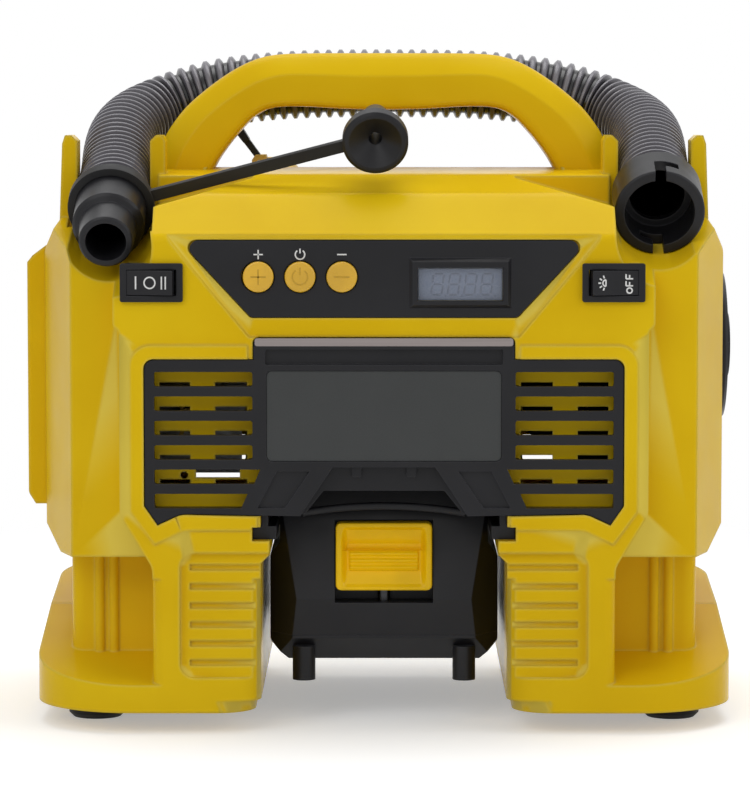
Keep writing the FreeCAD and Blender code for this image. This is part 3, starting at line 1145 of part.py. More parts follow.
def gear(body, teeth, root, tip):
    """A straight-sided gear: its root disc and its teeth, whose half widths are parts of a pitch."""
    span_y = ("gear_front - gear_wide", "gear_front")
    pad(body, "disc", "XZ", *span_y, ("circle", "0", "0", "gear_module * (%s / 2 - 1.25)" % teeth))
    count = int(number(teeth))
    for first in range(0, count, 6):
        some = []
        for k in range(first, min(first + 6, count)):
            corners = []
            for reach, part in ((" / 2 - 1.4", -root), (" / 2 + 1", -tip), (" / 2 + 1", tip), (" / 2 - 1.4", root)):
                angle = "360 / %s * (%d + %s)" % (teeth, k, part)
                radius = "gear_module * (%s%s)" % (teeth, reach)
                corners.append(("%s * cos(%s)" % (radius, angle), "%s * sin(%s)" % (radius, angle)))
            some.append(corners)
        pad(body, "teeth_%d" % (first // 6 + 1), "XZ", *span_y, *some)


def pump_parts():
    """Motor, gears, crank, connecting rod, piston and cylinder on one plate."""
    spacing = "gear_module * (gear_teeth + pinion_teeth) / 2"
    axis_low = "pump_up - " + spacing
    middle = "gear_front + 1 + rod_thick / 2"
    back = "plate_front - plate_thick"
    frame = new_body("pump_frame")
    plate = [
        ("pump_at - 20", axis_low + " - 20", 5), ("pump_at + 19", axis_low + " - 20"), ("pump_at + 19", axis_low + " - 4"),
        ("pump_at + cylinder_from + 9", axis_low + " + 8"), ("pump_at + cylinder_from + 9", "pump_up + 15", 5),
        ("pump_at - 20", "pump_up + 15", 5),
    ]
    pad(frame, "plate", "XZ", back, "plate_front", plate)
    pad(frame, "cylinder_seat", "YZ", "pump_at + cylinder_from + 3", "pump_at + cylinder_from + 7",
        box("-(%s) - piston_r - 4" % middle, "pump_up - piston_r - 4", "-plate_front + 1", "pump_up + piston_r + 3"))
    cut(frame, "cylinder_hole", "YZ", "pump_at + cylinder_from + 2", "pump_at + cylinder_from + 8",
        ("circle", "-(%s)" % middle, "pump_up", "piston_r + cylinder_wall"))
    cut(frame, "bearings", "XZ", back + " - 1", "plate_front + 1",
        ("circle", "pump_at", "pump_up", "3.05"), ("circle", "pump_at", axis_low, "shaft_r + 2"))
    motor = new_body("pump_motor")
    pad(motor, "can", "XZ", back + " - motor_long", back, ("circle", "pump_at", axis_low, "motor_r"))
    cut(motor, "shaft_bore", "XZ", back + " - 20", back + " + 1", ("circle", "pump_at", axis_low, "shaft_r + 0.05"))
    pinion = new_body("motor_pinion")
    gear(pinion, "pinion_teeth", 0.26, 0.08)
    pad(pinion, "shaft", "XZ", back + " - 18", "gear_front - gear_wide", ("circle", "0", "0", "shaft_r"))
    place(pinion, "pump_at", "0", axis_low, (0, 1, 0), "360 / pinion_teeth / 2")
    crank = new_body("crank_gear")
    gear(crank, "gear_teeth", 0.27, 0.11)
    pad(crank, "shaft", "XZ", back + " - 1.5", "gear_front - gear_wide", ("circle", "0", "0", "3"))
    pad(crank, "crank_pin", "XZ", "gear_front", "gear_front + rod_thick + 2.5", ("circle", "0", "crank_throw", "crank_pin_r"))
    place(crank, "pump_at", "0", "pump_up")
    rod = new_body("piston_rod")
    start, end = "gear_front + 1", "gear_front + 1 + rod_thick"
    pad(rod, "beam", "XZ", start, end, box("0", "-2", "rod_long", "2"))
    pad(rod, "eye", "XZ", start, end, ("circle", "0", "0", "crank_pin_r + 2.4"))
    cut(rod, "eye_bore", "XZ", start + " - 1", end + " + 1", ("circle", "0", "0", "crank_pin_r + 0.05"))
    pad(rod, "wrist", "XZ", start + " - 1.5", end + " + 1.5", ("circle", "rod_long", "0", "2"))
    place(rod, "pump_at", "0", "pump_up + crank_throw")
    open_end = "cylinder_from"
    piston = new_body("piston")
    turn(piston, "piston", "XZ", [
        ("0", "cylinder_from + piston_long + 2"), ("piston_r - 0.06", "cylinder_from + piston_long + 2"),
        ("piston_r - 0.06", open_end + " + 2"), ("piston_r - 2", open_end + " + 2"),
        ("piston_r - 2", "cylinder_from + piston_long - 1"), ("0", "cylinder_from + piston_long - 1"),
    ])
    cylinder = new_body("pump_cylinder")
    turn(cylinder, "cylinder", "XZ", [
        ("piston_r", open_end), ("piston_r + cylinder_wall", open_end), ("piston_r + cylinder_wall", open_end + " + 7"),
        ("piston_r + 3", open_end + " + 7"), ("piston_r + 3", open_end + " + 9"), ("piston_r + cylinder_wall", open_end + " + 9"),
        ("piston_r + cylinder_wall", open_end + " + cylinder_long"), ("piston_r", open_end + " + cylinder_long"),
    ])
    head = new_body("cylinder_head")
    top = open_end + " + cylinder_long"
    pad(head, "head", "XY", top, top + " + 9", box("-piston_r - 2", "-piston_r - 2", "piston_r + 2", "piston_r + 2", 3))
    pad(head, "outlet", "XZ", "-piston_r - 5", "-piston_r - 1", ("circle", "0", top + " + 4.5", "3.4"))
    for body in (piston, cylinder, head):
        place(body, "pump_at", "-(%s)" % middle, "pump_up", (0, 1, 0), "90")


def blower_parts():
    """Blower housing with its duct, the impeller on its shaft and the motor."""
    front, back = "-port_back + scroll_wide / 2", "-port_back - scroll_wide / 2"
    house = new_body("blower_housing")
    pad(house, "scroll", "XZ", back, front, ("circle", "blower_at", "blower_up", "scroll_r"))
    duct_end = "hull_half - 9"
    duct = box("port_back - spigot_r - 0.6", "port_up - spigot_r - 0.6", "port_back + spigot_r + 0.6", "port_up + spigot_r + 0.6")
    pad(house, "duct", "YZ", "blower_at", duct_end, duct)
    inner = box("port_back - spigot_bore", "port_up - spigot_bore", "port_back + spigot_bore", "port_up + spigot_bore")
    cut(house, "duct_room", "YZ", "blower_at", duct_end + " - 2", inner)
    cut(house, "duct_mouth", "YZ", duct_end + " - 3", duct_end + " + 1", ("circle", "port_back", "port_up", "spigot_bore"))
    cut(house, "scroll_room", "XZ", back + " + 2", front + " - 2", ("circle", "blower_at", "blower_up", "scroll_r - 2"))
    cut(house, "inlet", "XZ", front + " - 3", front + " + 1", ("circle", "blower_at", "blower_up", "impeller_r / 2"))
    cut(house, "shaft_hole", "XZ", back + " - 1", back + " + 3", ("circle", "blower_at", "blower_up", "shaft_r + 1"))
    wheel = new_body("blower_impeller")
    rear = back + " + 4"
    pad(wheel, "disc", "XZ", rear, rear + " + 1.6", ("circle", "0", "0", "impeller_r"))
    pad(wheel, "hub", "XZ", rear, rear + " + 9", ("circle", "0", "0", "5"))
    blades = []
    for k in range(int(number("blade_count"))):
        turn_by = "360 / blade_count * %d" % k
        corners = []
        for reach, lag in (("6", 0), ("impeller_r", 22), ("impeller_r", 26), ("6", 14)):
            corners.append(("%s * cos(%s + %s)" % (reach, turn_by, lag), "%s * sin(%s + %s)" % (reach, turn_by, lag)))
        blades.append(corners)
    pad(wheel, "blades", "XZ", rear + " + 1", rear + " + impeller_wide", *blades)
    pad(wheel, "shaft", "XZ", back + " - 16", rear, ("circle", "0", "0", "shaft_r"))
    place(wheel, "blower_at", "0", "blower_up")
    motor = new_body("blower_motor")
    pad(motor, "can", "XZ", back + " - 28", back, ("circle", "blower_at", "blower_up", "14"))
    cut(motor, "shaft_bore", "XZ", back + " - 18", back + " + 1", ("circle", "blower_at", "blower_up", "shaft_r + 0.05"))


def at_hose_end(body, across, up):
    """Seats a fitting on a hose end: its Z runs forward and down along the hose, its Y up."""
    place(body, across, "-fork_at", up, (1, 0, 0), "90 + hose_tilt")


def hose_fittings():
    """Nozzle on the left hose end, bayonet collar on the right one, strap and cone adapter."""
    nozzle = new_body("hose_nozzle")
    turn(nozzle, "nozzle", "XZ", [
        ("hose_bore", "0"), ("nozzle_r", "0"), ("nozzle_r", "nozzle_step - 0.8"), ("nozzle_r - 0.8", "nozzle_step"),
        ("tip_r + 0.6", "nozzle_step + 1"), ("tip_r", "nozzle_long - 0.6"), ("tip_r - 0.6", "nozzle_long"),
        ("tip_bore", "nozzle_long"), ("tip_bore", "nozzle_step - 2"), ("hose_bore", "nozzle_step - 5"),
    ])
    at_hose_end(nozzle, "-cradle_out", "nozzle_up")
    collar = new_body("hose_collar")
    turn(collar, "collar", "XZ", [
        ("hose_bore", "0"), ("collar_r - 1", "0"), ("collar_r", "1"), ("collar_r", "collar_long - 0.5"),
        ("collar_r - 0.5", "collar_long"), ("collar_bore", "collar_long"), ("collar_bore", "2.4"), ("hose_bore", "2.4"),
    ])
    slots = (box("-1.9", "collar_bore - 1", "1.9", "collar_r + 1"), box("-1.9", "-collar_r - 1", "1.9", "-collar_bore + 1"))
    cut(collar, "slots", "XY", "collar_long - 9", "collar_long + 1", *slots)
    turns = (box("-1.9", "collar_bore - 1.6", "6.5", "collar_r + 1"), box("-6.5", "-collar_r - 1", "1.9", "-collar_bore + 1.6"))
    cut(collar, "slot_turns", "XY", "collar_long - 9", "collar_long - 5", *turns)
    at_hose_end(collar, "cradle_out", "collar_up")
    strap = new_body("adapter_strap")
    long = "sqrt(arm_across * arm_across + arm_up * arm_up)"
    low = "(ring_long - arm_thick) / 2"
    pad(strap, "ring", "XY", "0.2", "0.2 + ring_long", ("circle", "0", "0", "ring_r"))
    arm = box("ring_r - 2", "-arm_wide / 2", long + " - cone_neck - 2", "arm_wide / 2")
    pad(strap, "arm", "XY", low, low + " + arm_thick", arm)
    pad(strap, "eye", "XY", low, low + " + arm_thick", ("circle", long, "0", "cone_neck + 3"))
    cut(strap, "ring_bore", "XY", "0", "ring_long + 1", ("circle", "0", "0", "nozzle_r + 0.08"))
    cut(strap, "eye_bore", "XY", low + " - 1", low + " + arm_thick + 1", ("circle", long, "0", "cone_neck"))
    strap.Placement = Placement(Vector(0, 0, 0), Rotation(Vector(0, 0, 1), 0))
    lean = Rotation(Vector(1, 0, 0), number("90 + hose_tilt")) * Rotation(Vector(0, 0, 1), number("atan(arm_up / arm_across)"))
    strap.Placement = Placement(Vector(number("-cradle_out"), number("-fork_at"), number("nozzle_up")), lean)
    cone = new_body("cone_adapter")
    turn(cone, "cone", "XZ", [
        ("cone_bore", low + " - cone_long"), ("cone_neck * 0.6", low + " - cone_long"), ("cone_neck + 1.4", low + " - 0.8"),
        ("cone_neck + 1.4", low + " - 0.1"), ("cone_neck", low + " - 0.1"), ("cone_neck", low + " + arm_thick"), ("cone_mouth", low + " + arm_thick"),
        ("cone_mouth", low + " + 6"), ("cone_mouth - 1", low + " + 6.6"), ("cone_mouth - 2.2", low + " + 6.6"),
        ("cone_bore", low + " + 2"),
    ])
    seat = strap.Placement.multVec(Vector(number(long), 0, 0))
    cone.Placement = Placement(seat, lean)


def hose_line():
    """Stations along the ribbed hose: straight ends and a smooth run behind the handle between them."""
    lean = math.radians(number("hose_tilt"))
    out, along = number("cradle_out"), Vector(0, math.cos(lean), math.sin(lean))
    starts = [Vector(side * out, -number("fork_at"), number(up)) for side, up in ((-1, "nozzle_up"), (1, "collar_up"))]
    knees = [start + along * 2 * number("hose_r") for start in starts]
    high, back = number("hose_height"), number("hose_behind")
    left = [Vector(-out, -12, high - 24), Vector(-out + 2.5, 0, high - 15.2), Vector(-out + 10, 11, high - 7.2),
            Vector(-out + 22, back - 9.5, high - 2.2), Vector(-out + 37, back - 2, high - 0.2), Vector(-out + 64, back, high)]
    right = [Vector(-p.x, p.y, p.z) for p in reversed(left)]
    right[-1] = right[-1] + Vector(0, 0, 1)
    points = [knees[0]] + left + [Vector(0, back, high)] + right + [knees[1]]
    run = [0]
    for before, after in zip(points, points[1:]):
        run.append(run[-1] + before.distanceToPoint(after))
    curve = Part.BSplineCurve()
    curve.interpolate(Points=points, Parameters=run, InitialTangent=along, FinalTangent=-along, Scale=False)
    return starts, knees, along, curve


def ring_at(point, tangent, radius, up):
    """A circle square to the tangent, its own X axis kept near the given direction."""
    across = (up - tangent * up.dot(tangent)).normalize()
    turned = Placement(point, Rotation(across, tangent.cross(across), tangent, "ZXY"))
    circle = Part.Circle(Vector(0, 0, 0), Vector(0, 0, 1), radius)
    edge = circle.toShape()
    edge.Placement = turned
    return Part.Wire([edge])


def air_hose():
    """The ribbed hose: flat-topped ribs at an even pitch along its line, open from end to end."""
    starts, knees, along, curve = hose_line()
    first, last = curve.FirstParameter, curve.LastParameter
    straight = 2 * number("hose_r")
    bent = curve.length(first, last)
    total = bent + 2 * straight

    def station(s):
        if s <= straight:
            return starts[0] + along * s, Vector(along)
        if s >= total - straight:
            return starts[1] + along * (total - s), -along
        at = curve.parameterAtDistance(s - straight, first)
        return curve.value(at), Vector(*curve.tangent(at)[0])

    lean = math.radians(number("hose_tilt"))
    up = Vector(0, -math.sin(lean), math.cos(lean))
    ribs = int(number("hose_ribs"))
    cuff = 3.0
    pitch = (total - 2 * cuff) / ribs
    stations = [(0, "hose_valley")]
    for k in range(ribs):
        start = cuff + k * pitch
        for part, radius in ((0.14, "hose_valley"), (0.3, "hose_r"), (0.7, "hose_r"), (0.86, "hose_valley")):
            stations.append((start + part * pitch, radius))
    stations.append((total, "hose_valley"))
    outer = [ring_at(*station(s), number(radius), up) for s, radius in stations]
    inner = [ring_at(*station(total * k / (2 * ribs)), number("hose_bore"), up) for k in range(2 * ribs + 1)]
    solid = Part.makeLoft(outer, True, True).cut(Part.makeLoft(inner, True, True))
    tightest = min(1 / max(curve.curvature(first + (last - first) * k / 200), 1e-6) for k in range(201))
    print("ribbed hose: length", round(total, 1), "pitch", round(pitch, 2), "tightest bend", round(tightest, 1))
    add_made("air_hose", solid)


def add_made(name, shape):
    """A sub-part whose shape is made from the sheet's sizes directly."""
    feature = DOC.addObject("Part::Feature", name)
    feature.Shape = shape
    feature.Label = name
    PARTS.append(feature)


def bent_rod(name, corners, bends, radius, bore):
    """A round rod or tube along straight runs joined by tangent arcs."""
    points = [Vector(*(number(text) for text in corner)) for corner in corners]
    edges = []
    here = points[0]
    for k in range(1, len(points) - 1):
        come = (points[k] - points[k - 1]).normalize()
        leave = (points[k + 1] - points[k]).normalize()
        reach = number(bends) * math.tan(come.getAngle(leave) / 2)
        enter, out = points[k] - come * reach, points[k] + leave * reach
        middle_way = (leave - come).normalize()
        centre = enter + (middle_way - come * middle_way.dot(come)).normalize() * number(bends)
        middle = centre - middle_way * number(bends)
        edges += [Part.LineSegment(here, enter).toShape(), Part.Arc(enter, middle, out).toShape()]
        here = out
    edges.append(Part.LineSegment(here, points[-1]).toShape())
    path = Part.Wire(edges)
    start = (points[1] - points[0]).normalize()
    solid = path.makePipeShell([Part.Wire([Part.makeCircle(number(radius), points[0], start)])], True, True)
    if bore:
        solid = solid.cut(path.makePipeShell([Part.Wire([Part.makeCircle(number(bore), points[0], start)])], True, True))
    area = math.pi * (number(radius) ** 2 - (number(bore) if bore else 0) ** 2)
    print(name, "bend", round(number(bends), 1), "volume / (section x length)", round(solid.Volume / area / path.Length, 4))
    return solid


def pressure_hose():
    """The stowed pressure hose, half round on the right, its outlet fitting and the tube that feeds it."""
    start = "line_left + fitting_r + 3"
    turn_at = number("line_right - line_turn")
    back, low, high = number("line_back"), number("line_low"), number("line_low + 2 * line_turn")
    corners = [Vector(number(start), back, low), Vector(turn_at, back, low), Vector(turn_at, back, high),
               Vector(number("chuck_at + chuck_body_r + 6"), back, high)]
    outer = Vector(number("line_right"), back, (low + high) / 2)
    path = Part.Wire([
        Part.LineSegment(corners[0], corners[1]).toShape(), Part.Arc(corners[1], outer, corners[2]).toShape(),
        Part.LineSegment(corners[2], corners[3]).toShape(),
    ])
    rings = [Part.Wire([Part.makeCircle(r, corners[0], Vector(1, 0, 0))]) for r in (number("line_r"), number("line_r") / 2)]
    solid = path.makePipeShell([rings[0]], True, True).cut(path.makePipeShell([rings[1]], True, True))
    area = math.pi * (number("line_r") ** 2 - (number("line_r") / 2) ** 2)
    print("pressure hose: bend", number("line_turn"), "volume / (section x length)", round(solid.Volume / area / path.Length, 4))
    add_made("pressure_hose", solid)
    fitting = new_body("pressure_hose_fitting")
    pad(fitting, "stem", "XZ", "-line_back - fitting_r + 1.5", "-rear_reach + 12", ("circle", "line_left", "line_low", "fitting_r - 0.1"))
    pad(fitting, "barb", "YZ", "line_left", start, ("circle", "line_back", "line_low", "line_r + 0.6"))
    head_at = "pump_at + cylinder_from + cylinder_long + 4.5"
    tube = bent_rod("outlet_tube", [
        (head_at, "-(gear_front + 1 + rod_thick / 2) + piston_r + 5", "pump_up"), (head_at, "rear_reach - 24", "pump_up"),
        ("line_left", "rear_reach - 24", "pump_up"), ("line_left", "rear_reach - 24", "line_low"), ("line_left", "rear_reach - 12", "line_low"),
    ], "6", "2.4", "1.4")
    add_made("outlet_tube", tube)


def chuck_parts():
    """The thumb-lock chuck on its peg: body, lever and pin."""
    body = new_body("chuck_body")
    tall = "chuck_high - chuck_low"
    turn(body, "body", "XZ", [
        ("valve_r", "0"), ("chuck_body_r", "0"), ("chuck_body_r", "15"), ("chuck_r", "16"), ("chuck_r", "27"),
        ("chuck_r - 1", "28"), ("chuck_body_r - 3", tall), ("0", tall), ("0", "12"), ("valve_r", "12"),
    ])
    pad(body, "barb", "YZ", "chuck_body_r - 2", "chuck_body_r + 6", ("circle", "0", "line_low + 2 * line_turn - chuck_low", "line_r + 0.6"))
    ears = [("-9.4", "25"), ("-2", "25"), ("-4", tall + " + 1"), ("-8", tall + " + 1"), ("-9.4", tall + " - 1")]
    pad(body, "ears", "XZ", "-5.6", "5.6", ears)
    cut(body, "lever_gap", "XZ", "-3.2", "3.2", [("-12", "26"), ("-3.4", "26"), ("-3.4", tall + " + 2"), ("-12", tall + " + 2")])
    cut(body, "pin_bore", "XZ", "-6", "6", ("circle", "-6.6", "29", "1.02"))
    place(body, "chuck_at", "line_back", "chuck_low")
    lever = new_body("chuck_thumb_lever")
    blade = [("-1.4", "1.6"), ("-lever_long * 0.66", "lever_long * 0.84"), ("-lever_long * 0.5", "lever_long * 0.93"),
             ("1.6", "1.4")]
    pad(lever, "blade", "XZ", "-2.9", "2.9", blade)
    pad(lever, "eye", "XZ", "-2.9", "2.9", ("circle", "0", "0", "2.2"))
    rest = [("-lever_long * 0.4", "lever_long * 0.5"), ("-lever_long * 0.7", "lever_long * 0.88"),
            ("-lever_long * 0.5", "lever_long"), ("-lever_long * 0.25", "lever_long * 0.6")]
    pad(lever, "thumb_rest", "XZ", "-4.6", "4.6", rest)
    cut(lever, "eye_bore", "XZ", "-6", "6", ("circle", "0", "0", "1.08"))
    place(lever, "chuck_at - 6.6", "line_back", "chuck_low + 29")
    pin = new_body("chuck_lever_pin")
    pad(pin, "pin", "XZ", "-5.6", "5.6", ("circle", "0", "0", "1.02"))
    place(pin, "chuck_at - 6.6", "line_back", "chuck_low + 29")


def check_and_write():
    """Stops if anything failed or cut nothing, then writes one file for each sub-part."""
    DOC.recompute()
    for item in DOC.Objects:
        if set(item.State) & {"Invalid", "Error"}:
            raise RuntimeError("%s failed: %s" % (item.Name, item.getStatusString()))
        if item.TypeId in ("PartDesign::Pocket", "PartDesign::Groove"):
            before = item.BaseFeature.Shape.Volume
            if item.Shape.Volume > before - 0.01:
                raise RuntimeError("%s cuts nothing" % item.Name)
    os.makedirs("parts", exist_ok=True)
    for part in PARTS:
        if part.Shape.isNull() or not part.Shape.isValid():
            raise RuntimeError("%s has no valid shape" % part.Label)
        part.Shape.exportStep("parts/%s.step" % part.Label)
        print(part.Label, len(part.Shape.Solids), round(part.Shape.Volume))


def build():
    """Makes every sub-part."""
    fill_sheet()
    shell_half("front_shell", 1, "hull_reach", "front_reach - wall - grip_deep - 1.4", front_form, front_openings)
    shell_half("rear_shell", -1, "rear_reach", "rear_reach - wall", rear_form, rear_openings)
    fascia_parts()
    panel_parts()
    switch_parts("mode", "mode_at", "-rocker_tilt")
    switch_parts("lamp", "lamp_at", "rocker_tilt")
    battery_parts()
    dock_parts()
    foot_parts()
    lamp_parts()
    side_cover_parts()
    port_part()
    pump_parts()
    blower_parts()
    hose_fittings()
    air_hose()
    pressure_hose()
    chuck_parts()


build()
check_and_write()
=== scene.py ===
"""Looks of a portable tire inflator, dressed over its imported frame."""

import json
import math

import bmesh
import bpy
import numpy as np
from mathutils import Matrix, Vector


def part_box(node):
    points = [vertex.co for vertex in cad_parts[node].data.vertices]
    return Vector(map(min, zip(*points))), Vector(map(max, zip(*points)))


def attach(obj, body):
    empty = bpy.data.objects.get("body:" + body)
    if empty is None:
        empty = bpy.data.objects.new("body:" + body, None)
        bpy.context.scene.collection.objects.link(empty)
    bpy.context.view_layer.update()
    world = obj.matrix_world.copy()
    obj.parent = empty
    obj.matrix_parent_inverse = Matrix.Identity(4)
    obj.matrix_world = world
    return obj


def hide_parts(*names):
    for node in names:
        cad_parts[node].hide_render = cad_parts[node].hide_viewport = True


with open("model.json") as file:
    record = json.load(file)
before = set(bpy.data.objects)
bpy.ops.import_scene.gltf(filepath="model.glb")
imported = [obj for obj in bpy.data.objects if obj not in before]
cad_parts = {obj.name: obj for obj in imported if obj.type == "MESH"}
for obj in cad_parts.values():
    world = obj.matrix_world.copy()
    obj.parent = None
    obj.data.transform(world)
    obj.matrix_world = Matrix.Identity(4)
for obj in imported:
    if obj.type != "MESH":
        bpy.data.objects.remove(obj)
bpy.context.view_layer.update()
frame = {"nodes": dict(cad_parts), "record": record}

bl_info = {
    "name": "Portable tire inflator",
    "version": (1, 0, 0),
    "blender": (4, 5, 0),
    "location": "3D View > Sidebar > Inflator",
    "description": "Materials, ribbed hose, printed marks and studio of a portable tire inflator",
    "category": "Object",
}


def linear(red, green, blue):
    """Screen colour from 0 to 255 as the linear values that shaders take."""
    values = np.array([red, green, blue]) / 255
    low = values / 12.92
    high = ((values + 0.055) / 1.055) ** 2.4
    return tuple(float(v) for v in np.where(values <= 0.04045, low, high))


# ---- sizes and colours that a user would change


def colour(label, about, *screen):
    return bpy.props.FloatVectorProperty(
        name=label, description=about, subtype="COLOR", size=3, min=0, max=1, default=linear(*screen)
    )


def length(label, about, value):
    return bpy.props.FloatProperty(
        name=label, description=about, subtype="DISTANCE", unit="LENGTH", default=value
    )


def power(label, about, value):
    return bpy.props.FloatProperty(name=label, description=about, unit="POWER", default=value)


class InflatorColours(bpy.types.PropertyGroup):
    """Colours of the finishes."""

    housing: colour("Housing", "Moulded yellow of the two shells", 229, 192, 22)
    housing_shade: colour("Housing, deeper", "Deeper yellow of the same plastic", 221, 181, 16)
    # Paler yellow along the housing's edges: a painted highlight.
    housing_edge_highlight: colour("Housing, edges", "Paler yellow along its edges", 240, 224, 112)
    black: colour("Black plastic", "Front plate, panel, battery case", 22, 22, 25)
    black_soft: colour("Black plastic, lighter", "Cloudy variation of it", 27, 27, 30)
    label: colour("Blank label", "Grained film on the front plate", 60, 62, 62)
    strip: colour("Satin strip", "Strip over the label", 150, 141, 139)
    keys: colour("Keys", "Push buttons", 228, 178, 34)
    latch: colour("Latch", "Battery latch", 255, 206, 12)
    display: colour("Display", "Face of the display", 88, 100, 126)
    segments: colour("Segments", "Figures of the display", 58, 68, 92)
    print_white: colour("White print", "Marks on panel and switches", 228, 228, 226)
    hose: colour("Hose", "Ribbed hose and its fittings", 38, 37, 40)
    rubber: colour("Rubber", "Feet and pressure hose", 30, 30, 31)


class InflatorHose(bpy.types.PropertyGroup):
    """Sizes of the ribbed hose."""

    pitch_end: length("Pitch at the ends", "From rib to rib near the fittings", 0.0033)
    pitch_middle: length("Pitch in the middle", "From rib to rib where the hose is pulled long", 0.0043)
    crest: length("Crest radius", "Radius over the ribs", 0.0125)
    valley: length("Valley radius", "Radius between the ribs", 0.0106)
    bore: length("Bore radius", "Inner radius", 0.0096)


class InflatorMarks(bpy.types.PropertyGroup):
    """Sizes of the printed marks."""

    rise: length("Rise", "How far print stands out", 0.00006)
    stroke: length("Stroke", "Width of the printed lines", 0.0005)


class InflatorStudio(bpy.types.PropertyGroup):
    """Camera and lights."""

    distance: length("Camera distance", "Camera in front of the object's middle", 1.385)
    height: length("Camera height", "Camera above the floor", 0.224)
    key_power: power("Key light", "Power of the large front light", 10)
    fill_power: power("Fill light", "Power of the side light", 5)
    top_power: power("Top light", "Power of the light above", 14)


# ---- meshes from whole arrays


def grid_faces(rows, cols, row_ring=False, col_ring=True):
    """Quads between the points of a grid; a ring joins its last line to its first."""
    r, c = np.meshgrid(
        np.arange(rows if row_ring else rows - 1), np.arange(cols if col_ring else cols - 1), indexing="ij"
    )
    near, far = r * cols, (r + 1) % rows * cols
    here, following = c, (c + 1) % cols
    return np.stack([near + here, near + following, far + following, far + here], -1).reshape(-1, 4)


def add_mesh(name, points, quads, caps=()):
    """A mesh object from points, quads and end caps, with its faces turned outwards."""
    sizes = np.array([4] * len(quads) + [len(cap) for cap in caps])
    corners = np.concatenate([quads.ravel(), *[np.asarray(cap).ravel() for cap in caps]])
    mesh = bpy.data.meshes.new(name)
    mesh.vertices.add(len(points))
    mesh.vertices.foreach_set("co", np.asarray(points, np.float32).ravel())
    mesh.loops.add(len(corners))
    mesh.loops.foreach_set("vertex_index", corners.astype(np.int32))
    mesh.polygons.add(len(sizes))
    mesh.polygons.foreach_set("loop_start", np.concatenate([[0], np.cumsum(sizes)[:-1]]).astype(np.int32))
    mesh.update(calc_edges=True)
    mesh.validate()
    shape = bmesh.new()
    shape.from_mesh(mesh)
    bmesh.ops.remove_doubles(shape, verts=shape.verts, dist=1e-7)
    bmesh.ops.recalc_face_normals(shape, faces=shape.faces)
    shape.to_mesh(mesh)
    shape.free()
    piece = bpy.data.objects.new(name, mesh)
    bpy.context.scene.collection.objects.link(piece)
    return piece


def finish_piece(piece, material, body, slot=None, smooth=35):
    """Gives a piece its material and its CAD body, and shades it smooth up to an angle. The slot, which takes
    the material's name where none is given, is not used."""
    slot = slot or material
    piece.data.materials.append(MATERIALS[material])
    chosen = [piece]
    with bpy.context.temp_override(
        object=piece, active_object=piece, selected_objects=chosen, selected_editable_objects=chosen
    ):
        bpy.ops.object.shade_smooth_by_angle(angle=math.radians(smooth))
    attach(piece, body)
    return piece


def joined(parts):
    """Several (points, quads, caps) as one, each with its numbers moved on."""
    points, quads, caps, offset = [], [], [], 0
    for part_points, part_quads, part_caps in parts:
        points.append(part_points)
        quads.append(part_quads + offset)
        caps += [np.asarray(cap) + offset for cap in part_caps]
        offset += len(part_points)
    return np.concatenate(points), np.concatenate(quads), caps


def carried(flat, depth):
    """A section at each station, from its points in front view and their depths, as points, quads and caps."""
    stations, rows = flat.shape[:2]
    depth = np.broadcast_to(depth, (stations, rows))
    points = np.stack([flat[..., 0], depth, flat[..., 1]], -1).reshape(-1, 3)
    return points, grid_faces(stations, rows), end_caps(rows, stations)


def end_caps(rows, stations):
    """The first and the last section of a grid as faces."""
    return np.arange(rows), np.arange(rows) + rows * (stations - 1)


MITRE_LIMIT = 0.4


def unit_rows(vectors):
    """Each row divided by its length; a row without length stays as it is."""
    return vectors / np.maximum(np.linalg.norm(vectors, axis=1, keepdims=True), 1e-12)


def quarter_turn(vectors):
    """Each row turned a quarter to the left in its plane."""
    return np.stack([-vectors[:, 1], vectors[:, 0]], 1)


def stroke(line, width, rise, lay, ring=False):
    """A flat stroke along a line in the plane: at each point, two points half a width to either side
    along the mitre, each once on the surface and once a rise above it."""
    line = np.asarray(line, float)
    if ring:
        before, after = np.roll(line, 1, 0), np.roll(line, -1, 0)
    else:
        before, after = np.vstack([line[:1], line[:-1]]), np.vstack([line[1:], line[-1:]])
    come, leave = unit_rows(line - before), unit_rows(after - line)
    mitre = quarter_turn(unit_rows(come + leave))
    facing = np.maximum((mitre * quarter_turn(leave)).sum(1), (mitre * quarter_turn(come)).sum(1))
    offset = mitre / np.clip(facing, MITRE_LIMIT, 1)[:, None] * width / 2
    left, right = line + offset, line - offset
    low = -0.5 * rise
    corners = [lay(left, low), lay(left, rise), lay(right, rise), lay(right, low)]
    points = np.stack(corners, 1).reshape(-1, 3)
    quads = grid_faces(len(line), 4, row_ring=ring)
    return points, quads, () if ring else end_caps(4, len(line))


def arc(centre, radius, start, end, count=32):
    """Points of a circle from one angle to another, in degrees."""
    angle = np.radians(np.linspace(start, end, count))
    return np.stack([centre[0] + radius * np.cos(angle), centre[1] + radius * np.sin(angle)], 1)


def steady_frames(line, up):
    """For each point of a line the given up turned square to its direction, and the side square to both."""
    along = unit_rows(np.gradient(line, axis=0))
    up = np.asarray(up, float)
    up = unit_rows(up - along * (along @ up)[:, None])
    return up, np.cross(along, up)


# ---- shader node groups and materials


def new_group(name, inputs):
    """A node group with a socket for each value and the three outputs of a skin, and its inputs' sockets."""
    tree = bpy.data.node_groups.new(name, "ShaderNodeTree")
    kinds = {1: "NodeSocketFloat", 3: "NodeSocketVector", 4: "NodeSocketColor"}
    for label, value in inputs.items():
        tree.interface.new_socket(label, in_out="INPUT", socket_type=kinds[np.size(value)]).default_value = value
    for label, size in (("Color", 4), ("Roughness", 1), ("Normal", 3)):
        tree.interface.new_socket(label, in_out="OUTPUT", socket_type=kinds[size])
    return tree, tree.nodes.new("NodeGroupInput").outputs


